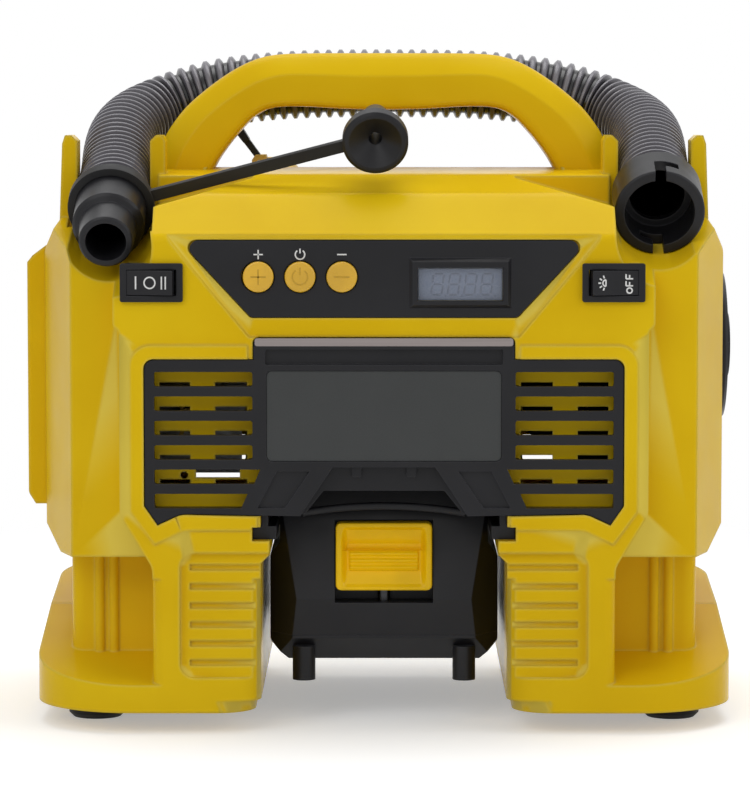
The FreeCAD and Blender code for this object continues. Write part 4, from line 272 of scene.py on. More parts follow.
def add_node(tree, kind, values=(), **settings):
    """A node with settings and socket values; a value that is a socket is joined to it."""
    node = tree.nodes.new(kind)
    for key, value in settings.items():
        setattr(node, key, value)
    for key, value in dict(values).items():
        if isinstance(value, bpy.types.NodeSocket):
            tree.links.new(value, node.inputs[key])
        else:
            node.inputs[key].default_value = value
    return node


def noise(tree, place, scale, detail):
    """Noise of a scale and detail at a place."""
    values = {"Vector": place, "Scale": scale, "Detail": detail}
    return add_node(tree, "ShaderNodeTexNoise", values).outputs["Fac"]


def mapped(tree, value, low, high, to_low=0.0, to_high=1.0):
    """A value taken from one range to another."""
    ends = {"Value": value, "From Min": low, "From Max": high, "To Min": to_low, "To Max": to_high}
    return add_node(tree, "ShaderNodeMapRange", ends).outputs["Result"]


MIX_A, MIX_B, MIXED = 6, 7, 2  # the colour sockets of a Mix node


def mixed_colour(tree, factor, first, second):
    """A mix of two colours."""
    values = {"Factor": factor, MIX_A: first, MIX_B: second}
    return add_node(tree, "ShaderNodeMix", values, data_type="RGBA").outputs[MIXED]


def moulded_skin():
    """Moulded plastic: cloudy change of colour, fine grain, paler softened edges and a change of gloss. The
    paler edges are a painted highlight, with some wear.
    """
    tree, value = new_group("moulded_skin", {
        "Base": (0.5, 0.5, 0.5, 1), "Shade": (0.4, 0.4, 0.4, 1), "Edge": (0.6, 0.6, 0.6, 1), "Edge Amount": 0.3,
        "Edge Radius": 0.0006, "Cloud Scale": 22.0, "Grain Scale": 2600.0, "Grain Depth": 0.00002,
        "Gloss Low": 0.3, "Gloss High": 0.4,
    })
    place = add_node(tree, "ShaderNodeTexCoord").outputs["Object"]
    cloud = mapped(tree, noise(tree, place, value["Cloud Scale"], 3.0), 0.38, 0.62)
    body = mixed_colour(tree, cloud, value["Base"], value["Shade"])
    soft = add_node(tree, "ShaderNodeBevel", {"Radius": value["Edge Radius"]}, samples=4).outputs["Normal"]
    plain = add_node(tree, "ShaderNodeNewGeometry").outputs["True Normal"]
    facing = add_node(tree, "ShaderNodeVectorMath", {0: soft, 1: plain}, operation="DOT_PRODUCT")
    # Paler edges, found where the bevelled normal leaves the true one: a painted highlight, with some wear.
    edge = mapped(tree, facing.outputs["Value"], 0.985, 0.85)
    edge_wear_and_highlight = add_node(tree, "ShaderNodeMath", {0: edge, 1: value["Edge Amount"]}, operation="MULTIPLY")
    shown = mixed_colour(tree, edge_wear_and_highlight.outputs["Value"], body, value["Edge"])
    grain = noise(tree, place, value["Grain Scale"], 2.0)
    relief = {"Height": grain, "Distance": value["Grain Depth"], "Strength": 1.0, "Normal": soft}
    bump = add_node(tree, "ShaderNodeBump", relief).outputs["Normal"]
    gloss = mapped(tree, noise(tree, place, 90.0, 4.0), 0.35, 0.65, value["Gloss Low"], value["Gloss High"])
    add_node(tree, "NodeGroupOutput", {"Color": shown, "Roughness": gloss, "Normal": bump})
    return tree


def drawn_metal():
    """Machined or drawn metal: fine lines along one axis in colour, gloss and height."""
    tree, value = new_group("drawn_metal", {
        "Base": (0.5, 0.5, 0.5, 1), "Shade": (0.4, 0.4, 0.4, 1), "Stretch": (40.0, 1500.0, 1500.0),
        "Depth": 0.00001, "Gloss Low": 0.25, "Gloss High": 0.4,
    })
    place = add_node(tree, "ShaderNodeTexCoord").outputs["Object"]
    scaled = add_node(tree, "ShaderNodeVectorMath", {0: place, 1: value["Stretch"]}, operation="MULTIPLY")
    lines = noise(tree, scaled.outputs["Vector"], 1.0, 4.0)
    body = mixed_colour(tree, lines, value["Base"], value["Shade"])
    gloss = mapped(tree, lines, 0.35, 0.65, value["Gloss Low"], value["Gloss High"])
    soft = add_node(tree, "ShaderNodeBevel", {"Radius": 0.0003}, samples=4).outputs["Normal"]
    relief = {"Height": lines, "Distance": value["Depth"], "Normal": soft}
    bump = add_node(tree, "ShaderNodeBump", relief).outputs["Normal"]
    add_node(tree, "NodeGroupOutput", {"Color": body, "Roughness": gloss, "Normal": bump})
    return tree


def scaled_colour(value, factor):
    return tuple(min(1.0, v * factor) for v in value[:3]) + (1.0,)


def skinned_material(name, group, sockets, shader):
    """A Principled material whose colour, gloss and normal come from a shared group with its own values."""
    material = bpy.data.materials.new(name)
    material.use_nodes = True
    tree = material.node_tree
    surface = tree.nodes["Principled BSDF"]
    skin = add_node(tree, "ShaderNodeGroup", sockets, node_tree=group).outputs
    for output, target in (("Color", "Base Color"), ("Roughness", "Roughness"), ("Normal", "Normal")):
        tree.links.new(skin[output], surface.inputs[target])
    for key, value in shader.items():
        surface.inputs[key].default_value = value
    return material


def plastic(name, group, base, shade, edges, texture, gloss, level=0.5, edge=None):
    """A moulded plastic. Its shade is a colour or a factor of the base. Edges give their amount, the factor by
    which they are paler where they have no colour of their own, and their radius; these paler edges are a
    painted highlight, with some wear. Texture gives the scales of cloud and grain and the depth of the grain.
    The level is that of its mirrored light."""
    amount, lift, radius = edges
    cloud, grain, depth = texture
    return skinned_material(name, group, {
        "Base": scaled_colour(base, 1),
        "Shade": scaled_colour(base, shade) if isinstance(shade, float) else scaled_colour(shade, 1),
        "Edge": scaled_colour(base, lift) if edge is None else scaled_colour(edge, 1),
        "Edge Amount": amount, "Edge Radius": radius, "Cloud Scale": cloud, "Grain Scale": grain,
        "Grain Depth": depth, "Gloss Low": gloss[0], "Gloss High": gloss[1],
    }, {"Specular IOR Level": level})


def metal(name, group, base, stretch=(40.0, 1500.0, 1500.0), gloss=(0.25, 0.4)):
    """A drawn metal, whose lines go along the axis that is stretched least."""
    return skinned_material(name, group, {
        "Base": scaled_colour(base, 1), "Shade": scaled_colour(base, 0.75), "Stretch": stretch,
        "Gloss Low": gloss[0], "Gloss High": gloss[1],
    }, {"Metallic": 1.0})


PLAIN_EDGE = (0.0, 1.5, 0.0002)
PRINT_EDGE = (0.0, 1.5, 0.0001)
# Painted light of the ribbed hose: its valleys take this share of its colour as painted shade, and its crests
# this factor as a painted highlight.
PAINTED_VALLEY_SHADE = 0.05
PAINTED_CREST_HIGHLIGHT = 7.5


def make_materials(colours):
    """One material for each slot of the record, and those that only the scene's own pieces use."""
    skin, drawn = moulded_skin(), drawn_metal()
    c = colours
    wrap, wrap_shade = linear(38, 110, 150), linear(30, 96, 140)
    nylon, nylon_shade = linear(218, 218, 210), linear(206, 206, 198)
    lens, lens_shade = linear(226, 230, 232), linear(214, 220, 224)
    glass, glass_shade = linear(206, 212, 222), linear(198, 206, 218)
    # Darker amber of the keys' signs: painted shade that stands for their debossed grooves.
    mark, mark_shade = scaled_colour(c.keys, 0.7), scaled_colour(c.keys, 0.62)
    made = {}
    # Each plastic's edges set its painted edge highlight, with some wear: amount, how much paler, radius.
    for name, *row in (
        ("housing_yellow", c.housing, c.housing_shade, (0.5, 1.5, 0.0016), (14, 2200, 0.000006), (0.2, 0.27),
         0.05, c.housing_edge_highlight),
        ("black_plastic", c.black, c.black_soft, (0.5, 5.0, 0.0006), (30, 2400, 0.00002), (0.32, 0.42), 0.25),
        ("label_grey", c.label, 0.86, (0.1, 1.5, 0.0003), (2600, 3200, 0.00004), (0.5, 0.6), 0.3),
        ("button_amber", c.keys, 0.85, (0.2, 1.5, 0.0004), (60, 1800, 0.00001), (0.25, 0.32)),
        ("latch_amber", c.latch, 0.85, (0.2, 1.5, 0.0004), (40, 1800, 0.00001), (0.2, 0.28), 0.2),
        ("rubber_black", c.rubber, 1.4, (0.2, 3.0, 0.0004), (40, 1600, 0.00004), (0.55, 0.7), 0.3),
        ("hose_black", c.hose, 0.8, (0.3, 4.0, 0.0004), (40, 1500, 0.00001), (0.3, 0.4)),
        ("hose_ribs", c.hose, 0.8, PLAIN_EDGE, (40, 1500, 0.000004), (0.24, 0.32)),
        ("display_case", c.display, 0.9, PLAIN_EDGE, (30, 800, 0.000002), (0.3, 0.35)),
        ("display_glass", glass, glass_shade, PLAIN_EDGE, (30, 900, 0.000001), (0.06, 0.1)),
        ("clear_lens", lens, lens_shade, (0.0, 1.5, 0.0004), (30, 1200, 0.00004), (0.25, 0.35)),
        ("circuit_green", linear(20, 84, 46), linear(14, 70, 40), PLAIN_EDGE, (160, 900, 0.00002), (0.3, 0.4)),
        ("cell_wrap", wrap, wrap_shade, (0.0, 1.5, 0.0003), (60, 900, 0.000005), (0.2, 0.3)),
        ("white_nylon", nylon, nylon_shade, (0.1, 1.5, 0.0003), (50, 1500, 0.00001), (0.4, 0.5)),
        ("white_print", c.print_white, 0.92, PRINT_EDGE, (400, 3000, 0.000005), (0.45, 0.55)),
        ("segment_grey", c.segments, 0.92, PRINT_EDGE, (400, 3000, 0.000002), (0.35, 0.4)),
        ("amber_mark", mark, mark_shade, PRINT_EDGE, (400, 3000, 0.000005), (0.4, 0.5)),
    ):
        made[name] = plastic(name, skin, *row)
    for name, *row in (
        ("satin_strip", c.strip, (30.0, 1200.0, 2400.0), (0.3, 0.42)),
        ("steel", linear(188, 188, 190)),
        ("spring_wire", linear(70, 70, 72)),
        ("brass", linear(205, 172, 96)),
        ("aluminium", linear(196, 197, 200), (300.0, 300.0, 300.0), (0.4, 0.55)),
    ):
        made[name] = metal(name, drawn, *row)
    for name, socket, value in (
        ("button_amber", "Coat Weight", 0.3), ("display_glass", "Alpha", 0.12), ("clear_lens", "Alpha", 0.55),
    ):
        made[name].node_tree.nodes["Principled BSDF"].inputs[socket].default_value = value
    # The ribbed hose's colour becomes painted shade in its valleys and a painted highlight on its crests.
    colour_ribs(made["hose_ribs"].node_tree, c.hose)
    return made


def colour_ribs(tree, base):
    """Takes the colour of a material from dark valleys to grey crests by the attribute crest: painted shade in
    the valleys, a painted highlight on the crests.
    """
    crest = add_node(tree, "ShaderNodeAttribute", attribute_name="crest", attribute_type="GEOMETRY")
    dark, light = scaled_colour(base, PAINTED_VALLEY_SHADE), scaled_colour(base, PAINTED_CREST_HIGHLIGHT)
    lit = mixed_colour(tree, crest.outputs["Fac"], dark, light)
    tree.links.new(lit, tree.nodes["Principled BSDF"].inputs["Base Color"])


MATERIALS = {}


# ---- operators, one for each piece or group of like pieces


class INFLATOR_OT_finishes(bpy.types.Operator):
    """Give every CAD node the material of its slot"""

    bl_idname = "inflator.finishes"
    bl_label = "Finishes"

    def execute(self, context):
        MATERIALS.update(make_materials(context.scene.inflator_colours))
        slots = {row["node"]: row["material_slot"] for row in frame["record"]["subparts"]}
        for name, node in frame["nodes"].items():
            node.data.materials.clear()
            node.data.materials.append(MATERIALS["spring_wire" if name == "latch_spring" else slots[name]])
        return {"FINISHED"}


SAME_POINT = 1e-6


def replacement(name, node, edit=None, move=None):
    """A copy of a CAD node in its place, its doubled points merged. One function may edit its bmesh, another one
    may move its points."""
    shape = bmesh.new()
    shape.from_mesh(frame["nodes"][node].data)
    bmesh.ops.remove_doubles(shape, verts=shape.verts, dist=SAME_POINT)
    if edit:
        edit(shape)
    mesh = bpy.data.meshes.new(name)
    shape.to_mesh(mesh)
    shape.free()
    if move:
        points = np.zeros(len(mesh.vertices) * 3)
        mesh.vertices.foreach_get("co", points)
        mesh.vertices.foreach_set("co", move(points.reshape(-1, 3)).ravel())
        mesh.update()
    piece = bpy.data.objects.new(name, mesh)
    bpy.context.scene.collection.objects.link(piece)
    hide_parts(node)
    return piece


# Heights of the side cover, in metres, and where they go. Points behind POD_REAR stay.
POD_HEIGHTS = (0.074, 0.095, 0.146, 0.150, 0.166)
POD_TALLER = (0.074, 0.095, 0.1600, 0.1625, 0.166)
POD_REAR = 0.0311


def squared_pod(points):
    """Moves the heights of the cover's points from one row of heights to the other."""
    taller = np.interp(points[:, 2], POD_HEIGHTS, POD_TALLER)
    points[:, 2] = np.where(points[:, 1] < POD_REAR, taller, points[:, 2])
    return points


class INFLATOR_OT_side_pod(bpy.types.Operator):
    """Square up the side cover: heights above its middle are stretched, so its slope is a short corner"""

    bl_idname = "inflator.side_pod"
    bl_label = "Side pod"

    def execute(self, context):
        piece = replacement("side_pod", "accessory_cover", move=squared_pod)
        finish_piece(piece, "housing_yellow", "side_cover", smooth=8)
        return {"FINISHED"}


# Where the panel's top corners move out: heights and distances from the middle, each with its share.
CORNER_HEIGHTS = (0.1437, 0.1699, 0.1706, 0.1745)
CORNER_ACROSS = (0.044, 0.0638, 0.068, 0.0745)
CORNER_SHARES = (0, 1, 1, 0)
CORNER_OUT = 0.0027
CORNER_REAR = -0.0795


def wider_panel(points):
    """Moves the top corners of the panel and its seat out by the share of their height and of their distance."""
    high = np.interp(points[:, 2], CORNER_HEIGHTS, CORNER_SHARES)
    out = np.interp(np.abs(points[:, 0]), CORNER_ACROSS, CORNER_SHARES)
    front = points[:, 1] < CORNER_REAR
    points[:, 0] += np.where(front, np.sign(points[:, 0]) * CORNER_OUT * high * out, 0)
    return points


class INFLATOR_OT_panel_plate(bpy.types.Operator):
    """Widen the panel's top corners outwards, by a share of the height and of the distance from the middle"""

    bl_idname = "inflator.panel_plate"
    bl_label = "Panel plate"

    def execute(self, context):
        piece = replacement("panel_plate", "control_panel", move=wider_panel)
        finish_piece(piece, "black_plastic", "housing", smooth=4)
        return {"FINISHED"}


# A point on the cheek's plane and the way that it faces, both across and in depth.
CHEEK_AT = (0.0305, -0.063)
CHEEK_FACES = (13.0, -9.5)
LIP_TOP = 0.0779
LIP_RADIUS = 0.17
LIP_HALF = 0.0285
LIP_BACK = -0.0629
LIP_STATIONS = 49
# The lip's section: from its top edge towards the arch's middle, and out of the pack's face.
LIP_SECTION = (
    (-0.0026, 0.0), (-0.0024, 0.0007), (-0.0018, 0.0011), (-0.0006, 0.0012), (0.0, 0.0008), (0.0001, 0.0),
)


class INFLATOR_OT_pack_case(bpy.types.Operator):
    """Cut the slanted cheeks off the pack's front corners and add the arched lip over its face"""

    bl_idname = "inflator.pack_case"
    bl_label = "Pack case"

    def execute(self, context):
        for node, name in (("battery_upper_case", "pack_upper"), ("battery_lower_case", "pack_lower")):
            piece = replacement(name, node, self.cut_cheeks)
            finish_piece(piece, "black_plastic", "battery", smooth=4)
        finish_piece(self.lip(), "black_plastic", "battery", smooth=40)
        return {"FINISHED"}

    def cut_cheeks(self, shape):
        """Cuts off what lies outside the planes of the cheeks and closes the cuts."""
        for side in (-1, 1):
            point, way = (side * CHEEK_AT[0], CHEEK_AT[1], 0), (side * CHEEK_FACES[0], CHEEK_FACES[1], 0)
            plane = {"plane_co": point, "plane_no": way, "dist": SAME_POINT, "clear_outer": True}
            cut = bmesh.ops.bisect_plane(shape, geom=[*shape.verts, *shape.edges, *shape.faces], **plane)
            rim = [edge for edge in cut["geom_cut"] if isinstance(edge, bmesh.types.BMEdge)]
            bmesh.ops.holes_fill(shape, edges=rim, sides=0)

    def lip(self):
        """The section carried along an arc of the lip's radius."""
        half = math.degrees(math.asin(LIP_HALF / LIP_RADIUS))
        middle = (0, LIP_TOP - LIP_RADIUS)
        line = arc(middle, LIP_RADIUS, 90 + half, 90 - half, LIP_STATIONS)
        across = unit_rows(line - middle)
        section = np.array(LIP_SECTION)
        flat = line[:, None] + across[:, None] * section[None, :, :1]
        return add_mesh("pack_lip", *carried(flat, LIP_BACK - section[:, 1]))


PEG_HALF = 0.0017
PEG_ROUND = 0.0008
PEG_TOP = 0.0935
PEG_LOW = 0.0886
PEG_FRONT = -0.0815
PEG_DEEP = 0.006
PEG_ACROSS = 0.0094


class INFLATOR_OT_stop_pegs(bpy.types.Operator):
    """Hang two square pegs with rounded lower ends from the grille's bridge, one to either side of the middle"""

    bl_idname = "inflator.stop_pegs"
    bl_label = "Stop pegs"

    def execute(self, context):
        turn = np.radians(np.linspace(180, 360, 13))
        bend = np.stack([np.cos(turn), 1 + np.sin(turn)], 1) * PEG_ROUND
        bend += np.stack([np.sign(np.cos(turn)) * (PEG_HALF - PEG_ROUND), np.full(len(turn), PEG_LOW)], 1)
        outline = np.concatenate([[(-PEG_HALF, PEG_TOP)], bend, [(PEG_HALF, PEG_TOP)]])
        depth = [[PEG_FRONT], [PEG_FRONT + PEG_DEEP]]
        parts = [carried(np.stack([outline + (x, 0)] * 2), depth) for x in (-PEG_ACROSS, PEG_ACROSS)]
        pegs = add_mesh("stop_pegs", *joined(parts))
        finish_piece(pegs, "black_plastic", "housing")
        return {"FINISHED"}


LATCH_CORNER = 0.0019
LATCH_DEEP = 0.0075
LATCH_EDGE = 0.0006
# The thumb recess: heights over the latch's lower edge, each with its depth, and where its side walls stand.
RECESS_HEIGHTS = (0.0010, 0.0022, 0.0066, 0.0137, 0.0140, 0.0160, 0.0212, 0.0222)
RECESS_DEPTHS = (0.0, 0.0009, 0.0030, 0.0030, 0.0048, 0.0044, 0.0014, 0.0)
RECESS_WALLS = (0.0128, 0.0150)
# The ribbed bar in it: half its width and its height, each from and to.
BAR_ACROSS = (0.0118, 0.0121)
BAR_HEIGHTS = (0.0066, 0.0068, 0.0138, 0.0140)
BAR_RISE = 0.0011
BAR_RIB = 0.00045
BAR_PITCH = 0.0024
BAR_FIRST = 0.0079


def ease(share):
    """A share from 0 to 1 that starts and ends gently: share squared times (3 less twice the share)."""
    return share * share * (3 - 2 * share)


class INFLATOR_OT_latch_face(bpy.types.Operator):
    """Shape the latch: a frame round a thumb recess whose depth is a function of height, with three ribs"""

    bl_idname = "inflator.latch_face"
    bl_label = "Latch face"

    def execute(self, context):
        low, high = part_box("battery_latch")
        half, tall = high.x, high.z - low.z
        u = np.concatenate([[-1, -0.985], np.linspace(-0.96, 0.96, 111), [0.985, 1]])
        v = np.concatenate([[0, 0.012], np.linspace(0.03, 0.97, 121), [0.988, 1]])
        across, up = np.meshgrid(u, v)
        z = up * tall
        from_edge = np.minimum(z, tall - z)
        short = np.clip(LATCH_CORNER - from_edge, 0, LATCH_CORNER)
        inset = LATCH_CORNER - np.sqrt(np.clip(LATCH_CORNER**2 - short**2, 0, None))
        x = across * (half - inset)
        inside = np.minimum(half - inset - np.abs(x), from_edge)
        edge = LATCH_EDGE * np.clip(1 - inside / LATCH_EDGE, 0, 1) ** 2
        front = np.stack([x, low.y + self.depth(np.abs(x), z) + edge, low.z + z], -1)
        back = front.copy()
        back[..., 1] = low.y + LATCH_DEEP
        rows, cols = x.shape
        faces = grid_faces(rows, cols, col_ring=False)
        index = np.arange(rows * cols).reshape(rows, cols)
        rim = np.concatenate([index[0, :-1], index[:-1, -1], index[-1, :0:-1], index[:0:-1, 0]])
        after = np.roll(rim, -1)
        sides = np.stack([rim, after, after + rows * cols, rim + rows * cols], -1)
        points = np.concatenate([front.reshape(-1, 3), back.reshape(-1, 3)])
        latch = add_mesh("latch_face", points, np.concatenate([faces, sides, faces + rows * cols]))
        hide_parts("battery_latch")
        finish_piece(latch, "latch_amber", "latch", smooth=30)
        return {"FINISHED"}

    def depth(self, out, z):
        """Depth of the recess less the ribbed bar, whose ribs are a cosine of the height."""
        recess = np.interp(z, RECESS_HEIGHTS, RECESS_DEPTHS) * ease(np.interp(out, RECESS_WALLS, (1, 0)))
        on_bar = np.interp(out, BAR_ACROSS, (1, 0)) * np.interp(z, BAR_HEIGHTS, (0, 1, 1, 0))
        ribs = BAR_RISE + BAR_RIB * np.cos(2 * np.pi * (z - BAR_FIRST) / BAR_PITCH)
        return recess - on_bar * ribs


# The handle in front view, in metres, from its right foot to its middle: under side and outside.
HANDLE_INSIDE = (
    (0.0650, 0.1850), (0.0625, 0.1905), (0.0590, 0.1968), (0.0549, 0.2024), (0.0508, 0.2072), (0.0463, 0.2118),
    (0.0400, 0.2148), (0.0290, 0.2150), (0.0150, 0.2140), (0.0, 0.2137),
)
HANDLE_OUTSIDE = (
    (0.0860, 0.1850), (0.0828, 0.1945), (0.0790, 0.2042), (0.0736, 0.2120), (0.0690, 0.2169), (0.0605, 0.2238),
    (0.0514, 0.2297), (0.0430, 0.2330), (0.0330, 0.2340), (0.0, 0.2340),
)
HANDLE_DEEP = 0.015
HANDLE_STARTS = 0.1933
# Half of its section: (0 to count from the inside or 1 from the outside, distance across, depth).
HANDLE_SECTION = (
    (0, 0.0003, 0.0), (0, 0.0, 0.0003), (0, 0.0, 0.0110), (0, 0.0003, 0.0128), (0, 0.0011, 0.0141),
    (0, 0.0023, 0.0148), (0, 0.0038, 0.0150), (1, -0.0088, 0.0150), (1, -0.0083, 0.01496), (1, -0.0078, 0.01470),
    (1, -0.0020, 0.0104), (1, -0.0011, 0.0095), (1, -0.0004, 0.0084), (1, 0.0, 0.0068), (1, 0.0, 0.0003),
    (1, -0.0003, 0.0),
)
HANDLE_PROUD = 1.005  # keeps the new handle's sides off those of the plain one's feet
HANDLE_STATIONS = 161
# What counts as the plain handle: nearer the middle, higher and less deep than this.
PLAIN_ACROSS = 0.09
PLAIN_FROM = 0.186
PLAIN_DEEP = HANDLE_DEEP + 0.0001


class INFLATOR_OT_shell_halves(bpy.types.Operator):
    """Copy the two shells without their plain handle and give each half its full round-shouldered one"""

    bl_idname = "inflator.shell_halves"
    bl_label = "Shell halves"

    def execute(self, context):
        for node, name, side in (("front_shell", "front_moulding", -1), ("rear_shell", "rear_moulding", 1)):
            piece = replacement(name, node, self.cut_handle, wider_panel)
            finish_piece(piece, "housing_yellow", "housing", smooth=8)
            finish_piece(self.handle_half(side), "housing_yellow", "housing", smooth=24)
        return {"FINISHED"}

    def plain_handle(self, shape, above):
        """The faces of the plain handle that lie above a height."""

        def in_handle(point):
            return abs(point.y) < PLAIN_DEEP and abs(point.x) < PLAIN_ACROSS and point.z > above

        return [face for face in shape.faces if all(in_handle(vert.co) for vert in face.verts)]

    def cut_handle(self, shape):
        """Cuts a shell off flat where the handle rises from its crown, and closes it there."""
        near = self.plain_handle(shape, PLAIN_FROM)
        geometry = list({v for f in near for v in f.verts} | {e for f in near for e in f.edges}) + near
        plane = {"plane_co": (0, 0, HANDLE_STARTS), "plane_no": (0, 0, 1), "dist": SAME_POINT}
        bmesh.ops.bisect_plane(shape, geom=geometry, **plane)
        gone = self.plain_handle(shape, HANDLE_STARTS - 1e-5)
        bmesh.ops.delete(shape, geom=gone, context="FACES")
        bmesh.ops.holes_fill(shape, edges=[e for e in shape.edges if e.is_boundary], sides=0)

    def handle_half(self, side):
        """The section carried along the arch: its points lie between the under side and the outside."""
        edges = []
        for half in (HANDLE_INSIDE, HANDLE_OUTSIDE):
            left = [(-x, 0, z) for x, z in half[:-1]]
            right = [(x, 0, z) for x, z in half]
            edges.append(smooth_line(right + left[::-1], HANDLE_STATIONS)[:, [0, 2]])
        inside, outside = edges
        across = outside - inside
        wide = np.linalg.norm(across, axis=1, keepdims=True)
        across /= wide
        section = np.array(HANDLE_SECTION)
        out = section[None, :, 0] * wide + section[None, :, 1]
        flat = inside[:, None] + across[:, None] * out[:, :, None]
        name = "front_handle" if side < 0 else "rear_handle"
        return add_mesh(name, *carried(flat, side * section[:, 2] * HANDLE_PROUD))


# Route of the ribbed hose, in metres: the nozzle's end, round behind the handle, the collar's end.
HOSE_ROUTE = (
    (-0.095, -0.05, 0.1815), (-0.095, -0.0268, 0.1909), (-0.0955, -0.011, 0.1985), (-0.0945, 0.003, 0.2045),
    (-0.0905, 0.0155, 0.209), (-0.0835, 0.0255, 0.2125), (-0.074, 0.0295, 0.2162), (-0.0585, 0.0305, 0.2205),
    (-0.031, 0.0305, 0.223), (0.0, 0.0305, 0.2232), (0.031, 0.0305, 0.223), (0.0585, 0.0305, 0.2205),
    (0.074, 0.0295, 0.2162), (0.0835, 0.0255, 0.2125), (0.0905, 0.0155, 0.209), (0.0945, 0.003, 0.2055),
    (0.0955, -0.011, 0.2010), (0.095, -0.0268, 0.1949), (0.095, -0.05, 0.1855),
)
HOSE_TILT = math.radians(22)
RIB_STEPS = 8
HOSE_AROUND = 48
HOSE_INNER_STEP = 4
# The hose is pulled long this far from its ends, over this length.
PULLED_FROM = 0.05
PULLED_OVER = 0.05
# A rib is the positive part of a shift less a cosine; the shift is larger in the middle, where ribs are wider.
RIB_SHIFT = 0.35
RIB_SHIFT_MORE = 0.2
RIB_COSINE = 0.85


def way_along(line):
    """The way along a line to each of its points."""
    return np.concatenate([[0], np.cumsum(np.linalg.norm(np.diff(line, axis=0), axis=1))])


def points_at(line, run, at):
    """Points of a line at the given ways along it."""
    return np.stack([np.interp(at, run, line[:, k]) for k in range(3)], 1)


def smooth_line(points, count):
    """Points at even steps along the NURBS spline whose control points are given."""
    data = bpy.data.curves.new("route", "CURVE")
    data.dimensions = "3D"
    spline = data.splines.new("NURBS")
    spline.points.add(len(points) - 1)
    spline.points.foreach_set("co", np.hstack([np.asarray(points), np.ones((len(points), 1))]).ravel())
    spline.order_u = 3
    spline.use_endpoint_u = True
    data.resolution_u = 24
    holder = bpy.data.objects.new("route", data)
    bpy.context.scene.collection.objects.link(holder)
    mesh = bpy.data.meshes.new_from_object(holder)
    line = np.zeros(len(mesh.vertices) * 3)
    mesh.vertices.foreach_get("co", line)
    line = line.reshape(-1, 3)
    bpy.data.objects.remove(holder)
    bpy.data.meshes.remove(mesh)
    bpy.data.curves.remove(data)
    run = way_along(line)
    return points_at(line, run, np.linspace(0, run[-1], count))


class INFLATOR_OT_ribbed_hose(bpy.types.Operator):
    """Make the ribbed hose: rings along the route whose radius swells and shrinks once a rib"""

    bl_idname = "inflator.ribbed_hose"
    bl_label = "Ribbed hose"

    def execute(self, context):
        sizes = context.scene.inflator_hose
        fine = smooth_line(HOSE_ROUTE, 2001)
        run = way_along(fine)
        from_end = np.minimum(run, run[-1] - run)
        pulled = np.clip((from_end - PULLED_FROM) / PULLED_OVER, 0, 1)
        pitch = sizes.pitch_end + (sizes.pitch_middle - sizes.pitch_end) * ease(pulled)
        ribs_so_far = np.concatenate([[0], np.cumsum(np.diff(run) * 2 / (pitch[1:] + pitch[:-1]))])
        count = int(ribs_so_far[-1]) * RIB_STEPS + 1
        at = np.interp(np.linspace(0, ribs_so_far[-1], count), ribs_so_far, run)
        line = points_at(fine, run, at)
        up, side = steady_frames(line, (0, -math.sin(HOSE_TILT), math.cos(HOSE_TILT)))
        shift = RIB_SHIFT + RIB_SHIFT_MORE * np.interp(at, run, pulled)
        phase = np.arange(count) / RIB_STEPS
        swell = ease(np.clip(shift - RIB_COSINE * np.cos(2 * np.pi * phase), 0, 1))
        radius = sizes.valley + (sizes.crest - sizes.valley) * swell
        angle = np.linspace(0, 2 * np.pi, HOSE_AROUND, endpoint=False)
        spokes = np.cos(angle)[None, :, None] * up[:, None] + np.sin(angle)[None, :, None] * side[:, None]
        outer = line[:, None] + spokes * radius[:, None, None]
        inner = (line[:, None] + spokes * sizes.bore)[::-HOSE_INNER_STEP]
        points = np.concatenate([outer, inner])
        faces = grid_faces(len(points), HOSE_AROUND, row_ring=True)
        hose = add_mesh("ribbed_hose", points.reshape(-1, 3), faces)
        # The share of crest at each point, which sets the painted shade in the valleys and the painted highlight
        # on the crests.
        on_crest = np.concatenate([np.repeat(swell, HOSE_AROUND), np.zeros(len(inner) * HOSE_AROUND)])
        if len(on_crest) != len(hose.data.vertices):
            raise RuntimeError("The hose lost points when its doubles were merged.")
        crest = hose.data.attributes.new("crest", "FLOAT", "POINT")
        crest.data.foreach_set("value", on_crest.astype(np.float32))
        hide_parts("air_hose")
        finish_piece(hose, "hose_ribs", "stowed_hose", "hose_black", 60)
        return {"FINISHED"}


def flat_front(front):
    """Lays points of the plane on a face that looks forward, at that Y."""
    return lambda p, high: np.stack([p[:, 0], np.full(len(p), front - high), p[:, 1]], 1)


# Each key's word, its CAD node and its body.
KEYS = (
    ("plus", "button_plus", "plus_button"),
    ("power", "button_power", "power_button"),
    ("minus", "button_minus", "minus_button"),
)
PANEL_FACE = -0.0838
KEY_MARK_HALF = 0.0026
KEY_SIGN_UP = 0.0076
KEY_SIGN_SHARES = (0.62, 0.95)  # of the mark's size and of its stroke


def key_lines(word, middle, r):
    """The lines of a key's sign: a plus, a minus, or an open circle with a stroke in its gap for power."""
    if word == "power":
        return [arc(middle, r, 125, 415), [middle + (0, r * 0.25), middle + (0, r * 1.25)]]
    bar = [middle - (r, 0), middle + (r, 0)]
    return [bar, [middle - (0, r), middle + (0, r)]] if word == "plus" else [bar]


